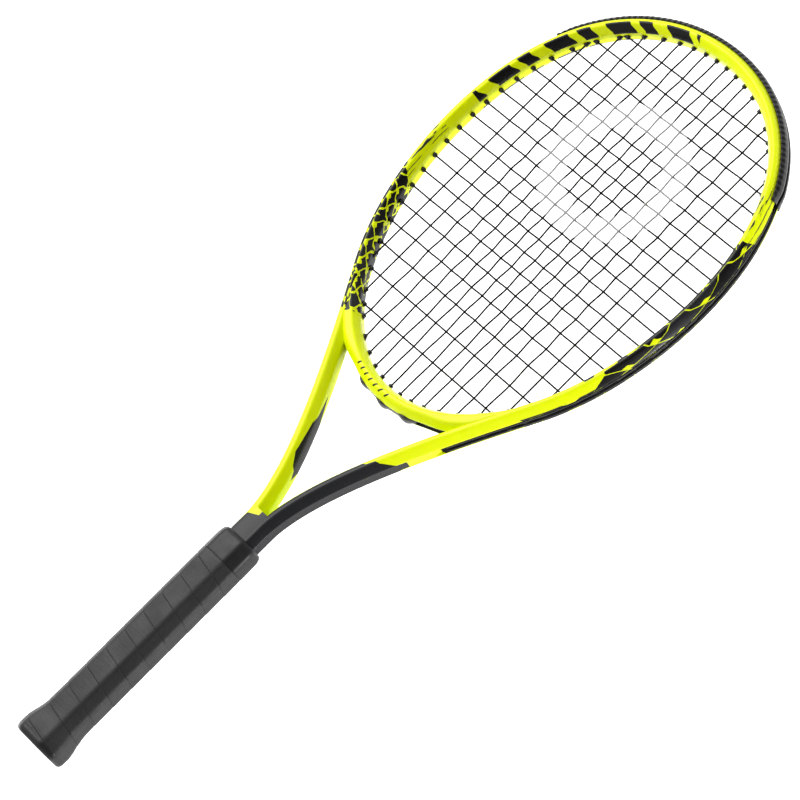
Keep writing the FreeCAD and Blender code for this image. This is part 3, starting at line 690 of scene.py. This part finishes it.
def floor_material():
    """Pale studio floor that carries some light of its own, so that shadows stay faint."""
    paint = Paint("studio_floor")
    grain = paint.noise(6.0, 3.0)
    colour = paint.mix(grain, (0.90, 0.90, 0.90, 1), (0.93, 0.93, 0.93, 1))
    paint.shader.inputs["Emission Color"].default_value = (1, 1, 1, 1)
    paint.shader.inputs["Emission Strength"].default_value = 0.75
    return paint.finish(colour, 0.9, Specular_IOR_Level=0.0)


# Properties -------------------------------------------------------------------------------


class RacketColours(bpy.types.PropertyGroup):
    lime: bpy.props.FloatVectorProperty(
        name="Lime", description="Colour of the frame's lacquer", subtype="COLOR", size=3,
        min=0, max=1, default=(0.74, 0.845, 0.0010))
    charcoal: bpy.props.FloatVectorProperty(
        name="Charcoal", description="Colour of the frame's dark panels", subtype="COLOR", size=3,
        min=0, max=1, default=(0.012, 0.0125, 0.0135))
    ring_x: bpy.props.FloatProperty(
        name="Ring place", description="Distance of the stencilled ring from the butt",
        default=0.562, unit="LENGTH")
    ring_outer: bpy.props.FloatProperty(
        name="Ring outer radius", description="Outer radius of the stencilled ring",
        default=0.056, unit="LENGTH")
    ring_inner: bpy.props.FloatProperty(
        name="Ring inner radius", description="Inner radius of the stencilled ring",
        default=0.036, unit="LENGTH")


class RacketSizes(bpy.types.PropertyGroup):
    string_radius: bpy.props.FloatProperty(
        name="String radius", description="Half the string's thickness",
        default=0.68 * MM, unit="LENGTH")
    wrap_pitch: bpy.props.FloatProperty(
        name="Wrap pitch", description="Distance between two seams of the grip",
        default=17.8 * MM, unit="LENGTH")
    bumper_proud: bpy.props.FloatProperty(
        name="Bumper thickness", description="How far the bumper stands outside the tube",
        default=2.7 * MM, unit="LENGTH")
    lens: bpy.props.FloatProperty(
        name="Lens", description="Focal length of the camera in millimetres", default=186.3)


# Shared building steps --------------------------------------------------------------------


def place(piece, material, slot, body, *nodes):
    """Give a finished piece its material, body and the CAD nodes that it stands for. The slot is not
    used.
    """
    piece.data.materials.append(material)
    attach(piece, body)
    if nodes:
        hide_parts(*nodes)
    return piece


def main_y(index):
    """Distance of a main from the middle: pitch times n plus fan times n cubed, n = index - 1/2."""
    return MAIN_PITCH * (index - 0.5) + MAIN_FAN * (index - 0.5)**3


def cross_x(index):
    """Place of a cross: middle plus pitch times n plus the spread times n to the fifth."""
    rate = np.where(np.asarray(index) < 0, CROSS_SPREAD_THROAT, CROSS_SPREAD_TIP)
    return CROSS_MIDDLE_X + CROSS_PITCH * index + rate * np.asarray(index, float)**5


def string_ends():
    """Seats outside the rail and entries inside the hoop, for the left half of the strings:
    (kind, index, curve, parameter, outer point, inner point)."""
    half, proud = RAIL_WIDTH / 2, STRING_INSIDE
    ends = []
    for index in range(1, MAINS_PER_SIDE + 1):
        y = main_y(index)
        at = locate(frame_curve, 2.35, 2.999, 1, y, half - STRING_SEAT)
        into = locate(hoop_curve, 0.001, math.pi / 2, 1, y, -half - proud)
        ends.append(("tip", index, frame_curve, at, into))
        into = locate(hoop_curve, *BRIDGE_RANGE, 1, y, -half - proud)
        if index > BRIDGE_MAINS:
            at = locate(frame_curve, 1.2, 2.2, 1, y, half - STRING_SEAT)
            ends.append(("throat", index, frame_curve, at, into))
        else:
            exit_y = ANGLED_EXIT_Y if index == BRIDGE_MAINS else y
            at = locate(hoop_curve, *BRIDGE_RANGE, 1, exit_y, half - STRING_SEAT)
            ends.append(("throat", index, hoop_curve, at, into))
    for index in range(-CROSSES_PER_HALF, CROSSES_PER_HALF + 1):
        x = float(cross_x(index))
        into = locate(hoop_curve, math.pi, 0.0, 0, x, -half - proud)
        at = locate(frame_curve, 1.5, 2.999, 0, x, half - STRING_SEAT)
        ends.append(("cross", index, frame_curve, at, into))
    full = []
    for kind, index, curve, at, into in ends:
        outer = offset(curve, at, half - STRING_SEAT)[0]
        inner = offset(hoop_curve, into, -half - proud)[0]
        full.append({"kind": kind, "index": index, "curve": curve, "at": at,
                     "outer": outer, "inner": inner})
    return full


def barrels(sheet, ends, sides=(1, -1)):
    """Grommet barrels where strings leave the rail: a collar with a rounded lip, lathed round
    each string: the point on the string's line plus the radius times across cos f + up sin f."""
    profile = np.array(BARREL_PROFILE) * MM
    up = np.array([0, 0, 1.0])
    turn = np.linspace(0, 2 * math.pi, BARREL_SIDES, endpoint=False)[:, None]
    for end in ends:
        axis = end["inner"] - end["outer"]
        axis = axis / np.linalg.norm(axis)
        for side in sides:
            flip = np.array([1, side, 1])
            path = (end["inner"] + axis * profile[:, :1]) * flip
            ring = np.cross(axis * flip, up) * np.cos(turn) + up * np.sin(turn)
            sheet.grid(path[:, None] + ring[None] * profile[:, 1][:, None, None])
    return sheet


ENDS = string_ends()


# Operators --------------------------------------------------------------------------------


class RACKET_OT_frame(bpy.types.Operator):
    """Build the lacquered tube, its web above the handle and the bridge"""

    bl_idname = "racket.frame"
    bl_label = "Lacquered frame"

    def execute(self, context):
        material = lacquer_material(context.scene.racket_colours)
        start = (FRAME_VISIBLE_X - FRAME_START_X) / (ARM_START - FRAME_START_X)
        half = np.concatenate([np.linspace(start, 1, 12, endpoint=False),
                               np.linspace(1, 2, 170, endpoint=False), np.linspace(2, 3, 220)])
        s = np.concatenate([half, 6 - half[-2::-1]])
        outline = rounded_outline(tube_corners(s), CORNER_RADIUS, CORNER_STEPS)
        grid = sweep(frame_curve, s, outline)
        length = arc_length(frame_curve(s)[0])
        length -= length[len(half) - 1]
        numbers = corner_numbers(12, CORNER_STEPS)
        sheet = Sheet().grid(grid, u=length, v=numbers)
        self.bridge(sheet, numbers)
        self.web(sheet)
        piece = sheet.build("frame_shell", 55)
        place(piece, material, "painted_graphite", "racket", "frame_tube", "throat_bridge")
        return {"FINISHED"}

    def bridge(self, sheet, numbers):
        """The tube's section carried on round the hoop's low end. It flares outwards towards
        both arms, sinks a little into them, and its groove closes there."""
        angles = np.linspace(2 * math.pi - BRIDGE_REACH, BRIDGE_REACH, 180)
        turn = np.degrees(np.abs(angles - math.pi))
        sink = smooth(turn, 33, 43) * BRIDGE_SINK
        a = RAIL_WIDTH / 2 - sink
        corners = box_corners(a, RAIL_DEPTH / 2 - 0.05 * MM - sink, GROOVE_DEPTH)
        flare = smooth(turn, 14, 26) * (1 - smooth(turn, 30, 37)) * BRIDGE_FLARE
        outer = corners[..., 0] > 0
        corners[..., 0] += np.where(outer, flare[:, None], 0)
        close = smooth(turn, 20, 25)
        groove = np.abs(corners[..., 1]) < GROOVE_FLOOR * 1.01
        corners[..., 0] += np.where(outer & groove, (close * GROOVE_DEPTH)[:, None], 0)
        outline = rounded_outline(corners, CORNER_RADIUS, CORNER_STEPS)
        sheet.grid(sweep(hoop_curve, angles, outline),
                   u=5.0 + arc_length(hoop_curve(angles)[0]), v=numbers)

    def web(self, sheet):
        """The wall between the legs: a block whose half width follows the legs' centrelines
        and which ends in a hollow, rounded fork where the arms part."""
        s = np.linspace(WEB_START, WEB_END, 40)
        points, _ = frame_curve(s)
        depth = tube_corners(s)[:, 3, 1] - 0.02 * MM
        width = points[:, 1] + 0.5 * MM
        quarter = [(width, depth), (width, -depth), (-width, -depth), (-width, depth)]
        outline = rounded_outline(stacked(quarter, len(s)), 1.0 * MM, CORNER_STEPS)
        fork = smooth(s, 1.0, WEB_END)[:, None] * WEB_FORK
        bow = fork * (1 - (outline[..., 0] / width[:, None])**2)
        grid = np.stack([points[:, :1] - bow, outline[..., 0], outline[..., 1]], 2)
        sheet.grid(grid, u=np.full(len(s), 7.0), v=np.full(4 * CORNER_STEPS + 1, 8.0))


class RACKET_OT_strings(bpy.types.Operator):
    """Weave the mains and crosses and lay their turns in the outer groove"""

    bl_idname = "racket.strings"
    bl_label = "Woven strings"

    def execute(self, context):
        radius = context.scene.racket_sizes.string_radius
        material = string_material(context.scene.racket_colours)
        crosses = cross_x(np.arange(-CROSSES_PER_HALF, CROSSES_PER_HALF + 1))
        side = [main_y(i) for i in range(1, MAINS_PER_SIDE + 1)]
        mains = np.array([-y for y in reversed(side)] + side)
        mains_sheet, cross_sheet = Sheet(), Sheet()
        for number, y in enumerate(mains):
            index = number - MAINS_PER_SIDE + 1 if y > 0 else MAINS_PER_SIDE - number
            tip = self.find("tip", index)
            throat = self.find("throat", index)
            knots = np.array([end[0] for end in (throat["outer"], throat["inner"],
                                                 tip["inner"], tip["outer"])])
            ways = np.array([abs(throat["outer"][1]), abs(y), abs(y), abs(y)]) * np.sign(y)
            x = np.linspace(knots[0], knots[-1], STRING_STEPS)
            z = self.wave(x, crosses, number, knots[1], knots[2]) * radius
            bow = np.interp(x, knots, ways)
            mains_sheet.grid(tube(np.stack([x, bow, z], 1), radius))
        for number, x in enumerate(crosses):
            end = self.find("cross", number - CROSSES_PER_HALF)
            reach = end["outer"][1]
            y = np.linspace(-reach, reach, STRING_STEPS)
            z = -self.wave(y, mains, number, -end["inner"][1], end["inner"][1]) * radius
            path = np.stack([np.full_like(y, x), y, z], 1)
            cross_sheet.grid(tube(path, radius))
        outside = [("throat", 6, 7)] + [("tip", 2 * i + 1, 2 * i + 2) for i in range(4)]
        outside += [("throat", 2, 3), ("throat", 4, 5)]
        self.turns(mains_sheet, outside, radius, TURN_Z)
        turns = [("cross", i, i + 1) for i in range(-CROSSES_PER_HALF, CROSSES_PER_HALF)]
        self.turns(cross_sheet, turns[::2], radius, -TURN_Z, (1,))
        self.turns(cross_sheet, turns[1::2], radius, -TURN_Z, (-1,))
        for sheet, node in ((mains_sheet, "main_string"), (cross_sheet, "cross_string")):
            place(sheet.build(f"{node}_woven", 80), material, "black_string", "racket", node)
        return {"FINISHED"}

    def find(self, kind, index):
        return next(e for e in ENDS if e["kind"] == kind and e["index"] == index)

    def wave(self, along, crossings, number, first, last):
        """+1 and -1 by turns at the crossings, joined by a cosine, and 0 at the rail."""
        knots = np.concatenate([[first], crossings, [last]])
        phase = np.interp(along, knots, np.arange(len(knots)) - 1.0)
        level = np.cos(math.pi * (phase + number))
        fade = np.minimum(smooth(along, first, crossings[0]), 1 - smooth(along, crossings[-1], last))
        return level * np.clip(fade, 0, 1)

    def turns(self, sheet, pairs, radius, z, sides=(1, -1)):
        """Lengths in the groove from one string end to the next, at one depth but for their ends,
        which dip inwards by the eighth power of the share from the middle."""
        for kind, one, two in pairs:
            first, second = self.find(kind, one), self.find(kind, two)
            at = np.linspace(first["at"], second["at"], TURN_STEPS)
            dip = TURN_DIP * np.abs(np.linspace(-1, 1, TURN_STEPS))**8
            depth = RAIL_WIDTH / 2 - STRING_SEAT - dip
            for side in sides:
                path = offset(first["curve"], at, depth, z) * [1, side, 1]
                sheet.grid(tube(path, radius))


class RACKET_OT_guards(bpy.types.Operator):
    """Build the bumper, the side strips and the throat strip with their barrels"""

    bl_idname = "racket.guards"
    bl_label = "Bumper and grommet strips"

    def execute(self, context):
        proud = context.scene.racket_sizes.bumper_proud
        nylon = moulded_material("guard_nylon", (0.0065, 0.0065, 0.0072), 0.38, coat=0.12)
        self.bumper(proud, nylon)
        for side, name in ((1, "left"), (-1, "right")):
            self.side_strip(side, name, nylon)
        self.throat(nylon)
        return {"FINISHED"}

    def bumper(self, proud, material):
        """Channel section with two lips. The lips' edges rise and fall along the length."""
        s = np.linspace(BUMPER_START, 3, 330)
        s = np.concatenate([s, 6 - s[-2::-1]])
        length = arc_length(frame_curve(s)[0])
        a = RAIL_WIDTH / 2
        tooth = 0.5 + 0.5 * np.tanh(4 * np.sin(2 * math.pi * length / RIB_PITCH))
        grow = smooth(np.minimum(length, length[-1] - length), 0, 12 * MM)
        thick = proud * (0.35 + 0.65 * grow)
        half = [(a - 1.45 * MM, 1.5 * MM), (a + thick, 1.6 * MM), (a + thick, 3.6 * MM),
                (a + 0.63 * thick, (6.4 + 0.35 * tooth) * MM),
                (a - 0.5 * MM, (8.0 + 0.75 * tooth) * MM),
                (a - 1.72 * MM, (7.45 + 0.5 * tooth) * MM), (a + 0.03 * MM, 4.7 * MM),
                (a + 0.03 * MM, 3.2 * MM), (a - STRIP_FLOOR, 2.7 * MM)]
        outline = rounded_outline(channel(half, len(s)), 0.5 * MM, 3)
        sheet = Sheet().grid(sweep(frame_curve, s, outline))
        barrels(sheet, [e for e in ENDS if e["curve"] is frame_curve and e["at"] > BUMPER_START])
        place(sheet.build("bumper_guard_ribbed", 40), material, "black_nylon", "racket",
              "bumper_guard")

    def side_strip(self, side, name, material):
        """Strip in the groove: a floor, two rims, and over each string hole a bead, whose height
        falls as the exponential of minus the squared distance."""
        s = np.linspace(STRIP_START, STRIP_END, 420)
        a = RAIL_WIDTH / 2
        length = arc_length(frame_curve(s)[0])
        grow = smooth(np.minimum(length, length[-1] - length), 0, 7 * MM)
        holes = np.array([e["at"] for e in ENDS if e["curve"] is frame_curve])
        near = np.min(np.abs(s[:, None] - holes[None]), 1)
        bead = np.exp(-(near / 0.012)**2) * 0.5 * MM * grow
        rim = (0.45 * MM * grow) - 0.2 * MM
        half = [(a - 1.5 * MM + bead, 1.45 * MM), (a + rim, 1.75 * MM),
                (a + rim, 2.9 * MM * (0.6 + 0.4 * grow)), (a - STRIP_FLOOR, 2.7 * MM)]
        outline = rounded_outline(channel(half, len(s)), 0.35 * MM, 3)
        sheet = Sheet().grid(sweep(frame_curve, s, outline) * [1, side, 1])
        ends = [e for e in ENDS if e["curve"] is frame_curve and e["at"] < STRIP_END]
        barrels(sheet, ends, (side,))
        place(sheet.build(f"side_strip_{name}", 40), material, "black_nylon", "racket",
              f"side_grommet_strip_{name}")

    def throat(self, material):
        """Strip on the bridge's outer side, with a soft pad over each pair of strings, whose
        height falls as the exponential of minus the squared distance."""
        reach = locate(hoop_curve, *BRIDGE_RANGE, 1, THROAT_REACH, RAIL_WIDTH / 2)
        angles = np.linspace(2 * math.pi - reach, reach, 240)
        y = hoop_curve(angles)[0][:, 1]
        a = RAIL_WIDTH / 2
        grow = smooth(THROAT_REACH - np.abs(y), 0, 4 * MM)
        pads = sum(np.exp(-((y - centre) / PAD_SPREAD)**2) for centre in PAD_PLACES)
        height = a - 1.4 * MM + grow * (1.7 + 1.9 * pads) * MM
        width = (2.7 + 1.9 * pads * grow + 0.5 * grow) * MM
        half = [(height, 0.45 * width), (height - 0.8 * MM, width),
                (np.minimum(height - 1.2 * MM, a + 0.05 * MM), width),
                (a - STRIP_FLOOR, 2.6 * MM)]
        outline = rounded_outline(channel(half, len(y)), 0.8 * MM, 4)
        sheet = Sheet().grid(sweep(hoop_curve, angles, outline))
        barrels(sheet, [e for e in ENDS if e["curve"] is hoop_curve])
        place(sheet.build("throat_strip_padded", 45), material, "black_nylon", "racket",
              "throat_grommet_strip")


def handle_outline(count):
    """The grip's octagon with rounded corners: evenly spaced points, outward normals and the
    share of the way round."""
    y_flat, z_flat = GRIP_BEVEL - GRIP_Z, GRIP_BEVEL - GRIP_Y
    quarter = [(GRIP_Y, z_flat), (y_flat, GRIP_Z)]
    corners = quarter + [(-y, z) for y, z in reversed(quarter)]
    corners = np.array(corners + [(-y, -z) for y, z in corners])
    ring = rounded_outline(corners[None], GRIP_ROUNDING, 8)[0]
    ring = np.vstack([ring, ring[:1]])
    length = arc_length(ring)
    at = np.linspace(0, length[-1], count, endpoint=False)
    points = np.stack([np.interp(at, length, ring[:, k]) for k in (0, 1)], 1)
    tangent = unit(np.roll(points, -1, 0) - np.roll(points, 1, 0))
    return points, np.stack([tangent[:, 1], -tangent[:, 0]], 1), at / length[-1]


def handle_grid(x, scale, outwards, count):
    """Octagons across X, scaled, then pushed out along their normals (rows, count)."""
    points, normals, _ = handle_outline(count)
    flat = points[None] * np.asarray(scale)[:, None, None] + normals[None] * outwards[..., None]
    x = np.broadcast_to(np.asarray(x)[:, None, None], flat.shape[:2] + (1,))
    return np.concatenate([x, flat], 2)


def flare_scale(x):
    """How much the handle swells at the butt: a few sizes joined by straight lines, then
    averaged over 4 mm with weights that fall off as a raised cosine."""
    fine = np.linspace(-0.01, 0.06, 701)
    at, scales = np.array(FLARE).T
    rough = np.interp(fine, at * MM, scales)
    weights = np.hanning(41)
    padded = np.pad(rough, len(weights) // 2, mode="edge")
    return np.interp(x, fine, np.convolve(padded, weights / weights.sum(), mode="valid"))


def wrap_drop(x):
    """How far the wrap steps down near its upper end."""
    return smooth(x, WRAP_STEP_X, WRAP_STEP_X + WRAP_STEP_LENGTH) * WRAP_DROP


class RACKET_OT_handle(bpy.types.Operator):
    """Build the wound grip, the butt cap with its badge and the rubber collar"""

    bl_idname = "racket.handle"
    bl_label = "Grip, butt and collar"

    def execute(self, context):
        self.wrap(context)
        self.cap()
        self.collar()
        return {"FINISHED"}

    def wrap(self, context):
        """Octagonal sleeve. The strip's height over its own width is a low arch with a sharp
        step at each seam, and the seam climbs one pitch per turn."""
        pitch = context.scene.racket_sizes.wrap_pitch
        outer_x = np.concatenate([np.linspace(CAP_RIM_X, WRAP_STEP_X, 420, endpoint=False),
                                  np.linspace(WRAP_STEP_X, WRAP_END_X, 36)])
        _, _, share = handle_outline(HANDLE_SIDES)
        phase = np.mod(outer_x[:, None] / pitch + share[None] + SEAM_START, 1.0)
        seam = -0.38 * np.exp(-(np.minimum(phase, 1 - phase) / 0.020)**2)
        lap = 0.16 * (1 - phase)**2.0
        arch = 0.06 * np.sin(math.pi * phase)
        height = (seam + lap + arch) * MM - wrap_drop(outer_x)[:, None]
        outer = handle_grid(outer_x, flare_scale(outer_x), height, HANDLE_SIDES)
        inner_x = outer_x[::-6]
        height = np.broadcast_to((-WRAP_THICKNESS - wrap_drop(inner_x))[:, None],
                                 (len(inner_x), HANDLE_SIDES))
        inner = handle_grid(inner_x, flare_scale(inner_x), height, HANDLE_SIDES)
        sheet = Sheet().grid(np.concatenate([outer, inner]), wrap_rows=True)
        place(sheet.build("grip_wrap_wound", 50), leather_material(), "grip_leather", "racket",
              "grip_wrap")

    def cap(self):
        """Rim and end face of the butt: each row is the octagon times its scale, pushed outwards,
        and mixed with the badge's round recess by its share."""
        points, normals, _ = handle_outline(CAP_SIDES)
        circle = unit(points) * RECESS_RADIUS
        rows = []
        for x, scale, outwards, share in CAP_ROWS:
            flat = (points * scale + normals * outwards * MM) * (1 - share) + circle * share
            rows.append(np.column_stack([np.full(CAP_SIDES, x * MM), flat]))
        plastic = moulded_material("butt_plastic", (0.010, 0.010, 0.011), 0.42)
        place(Sheet().grid(np.array(rows)).build("butt_cap_flared", 40), plastic,
              "black_plastic", "racket", "butt_cap")

        turn = np.linspace(0, 2 * math.pi, BADGE_SIDES, endpoint=False)
        radii, depth = (column[:, None] * MM for column in np.array(BADGE_RINGS).T)
        disc = np.stack([np.broadcast_to(depth, (len(radii), BADGE_SIDES)),
                         radii * np.cos(turn), radii * np.sin(turn)], 2)
        badge = moulded_material("badge_plastic", (0.022, 0.022, 0.024), 0.28, coat=0.4)
        place(Sheet().grid(disc).build("butt_badge_rings", 40), badge,
              "badge_plastic", "racket", "butt_end_badge")

    def collar(self):
        """Rubber sleeve: one closed loop of (x, outwards) carried round the octagon."""
        x, out = np.array(COLLAR_LOOP).T * MM
        out = np.broadcast_to(out[:, None], (len(x), HANDLE_SIDES))
        grid = handle_grid(x, np.ones_like(x), out, HANDLE_SIDES)
        sheet = Sheet().grid(grid, wrap_rows=True)
        rubber = moulded_material("collar_rubber", (0.0095, 0.0095, 0.010), 0.42, 1600.0, 0.12)
        place(sheet.build("grip_collar_sleeve", 50), rubber, "black_rubber", "collar",
              "grip_collar")


class RACKET_OT_inner_parts(bpy.types.Operator):
    """Give the kept CAD pieces their finishes: pallets, staples, tape and knots"""

    bl_idname = "racket.inner_parts"
    bl_label = "Inner pieces"

    def execute(self, context):
        foam, wire = foam_material(), wire_material()
        tape = moulded_material("vinyl_tape", (0.02, 0.02, 0.021), 0.4, 1200.0, 0.1)
        knot = moulded_material("knot_monofilament", (0.010, 0.010, 0.010), 0.34, 2200.0, 0.15)
        finishes = {"handle_pallet_upper": foam, "handle_pallet_lower": foam,
                    "butt_cap_staples": wire, "grip_start_staple": wire, "finishing_tape": tape,
                    "main_string_knots": knot, "cross_string_knots": knot}
        for node, material in finishes.items():
            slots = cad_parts[node].data.materials
            slots.clear()
            slots.append(material)
        return {"FINISHED"}


class RACKET_OT_stage(bpy.types.Operator):
    """Set the pale floor, the soft lights and the camera"""

    bl_idname = "racket.stage"
    bl_label = "Floor, lights and camera"

    def execute(self, context):
        scene = context.scene
        self.floor()
        scene.view_settings.view_transform = "Standard"
        world = bpy.data.worlds.new("studio")
        world.use_nodes = True
        self.sky(world.node_tree)
        scene.world = world
        self.light("key_side", KEY_PLACE, KEY_SIZE, KEY_POWER)
        self.light("soft_top", TOP_PLACE, TOP_SIZE, TOP_POWER)
        self.camera(context)
        return {"FINISHED"}

    def sky(self, tree):
        """Even white light, but dim round one direction, where the studio is left dark."""
        place = tree.nodes.new("ShaderNodeTexCoord")
        toward = tree.nodes.new("ShaderNodeVectorMath")
        toward.operation = "DOT_PRODUCT"
        toward.inputs[1].default_value = DARK_SIDE
        dim = tree.nodes.new("ShaderNodeMapRange")
        for socket, value in (("From Min", 0.45), ("From Max", 0.90),
                              ("To Min", 0.95), ("To Max", 0.06)):
            dim.inputs[socket].default_value = value
        tree.links.new(place.outputs["Generated"], toward.inputs[0])
        tree.links.new(toward.outputs["Value"], dim.inputs["Value"])
        tree.links.new(dim.outputs["Result"], tree.nodes["Background"].inputs["Strength"])
        tree.nodes["Background"].inputs["Color"].default_value = (1, 1, 1, 1)

    def floor(self):
        """One wide square under the racket."""
        mesh = bpy.data.meshes.new("studio_floor")
        signs = ((-1, -1), (1, -1), (1, 1), (-1, 1))
        corners = [(a * FLOOR_SIZE, b * FLOOR_SIZE, FLOOR_Z) for a, b in signs]
        mesh.from_pydata(corners, [], [(0, 1, 2, 3)])
        plane = bpy.data.objects.new("studio_floor", mesh)
        mesh.materials.append(floor_material())
        bpy.context.scene.collection.objects.link(plane)

    def light(self, name, spot, size, power):
        """A round lamp, placed from the target and turned towards it."""
        data = bpy.data.lights.new(name, "AREA")
        data.shape = "DISK"
        data.size = size
        data.energy = power
        lamp = bpy.data.objects.new(name, data)
        lamp.location = LIGHT_TARGET + spot
        lamp.rotation_euler = (-spot).to_track_quat("-Z", "Y").to_euler()
        bpy.context.scene.collection.objects.link(lamp)

    def camera(self, context):
        """The racket is seen from in front and to its right, with the long axis at 45 degrees."""
        data = bpy.data.cameras.new("camera")
        data.lens = context.scene.racket_sizes.lens
        data.sensor_width = 36.0
        data.clip_start, data.clip_end = 0.1, 100.0
        camera = bpy.data.objects.new("camera", data)
        back = CAMERA_BACK.normalized()
        right = (CAMERA_RIGHT - back * CAMERA_RIGHT.dot(back)).normalized()
        up = back.cross(right)
        turn = Matrix((right, up, back)).transposed()
        camera.matrix_world = Matrix.Translation(CAMERA_PLACE) @ turn.to_4x4()
        bpy.context.scene.collection.objects.link(camera)
        bpy.context.scene.camera = camera


class RACKET_PT_pieces(bpy.types.Panel):
    """Sizes, colours and the operators, in the order in which they run"""

    bl_label = "Racket"
    bl_idname = "RACKET_PT_pieces"
    bl_space_type = "VIEW_3D"
    bl_region_type = "UI"
    bl_category = "Racket"

    def draw(self, context):
        for group in (context.scene.racket_colours, context.scene.racket_sizes):
            box = self.layout.box()
            for name in group.__annotations__:
                box.prop(group, name)
        for operator in OPERATORS:
            self.layout.operator(operator.bl_idname)


OPERATORS = (RACKET_OT_frame, RACKET_OT_strings, RACKET_OT_guards, RACKET_OT_handle,
             RACKET_OT_inner_parts, RACKET_OT_stage)
CLASSES = (RacketColours, RacketSizes) + OPERATORS + (RACKET_PT_pieces,)


def register():
    for cls in CLASSES:
        bpy.utils.register_class(cls)
    bpy.types.Scene.racket_colours = bpy.props.PointerProperty(type=RacketColours)
    bpy.types.Scene.racket_sizes = bpy.props.PointerProperty(type=RacketSizes)


def unregister():
    del bpy.types.Scene.racket_sizes
    del bpy.types.Scene.racket_colours
    for cls in reversed(CLASSES):
        bpy.utils.unregister_class(cls)


def main():
    register()
    for operator in OPERATORS:
        group, name = operator.bl_idname.split(".")
        getattr(getattr(bpy.ops, group), name)()


if __name__ == "__main__":
    main()
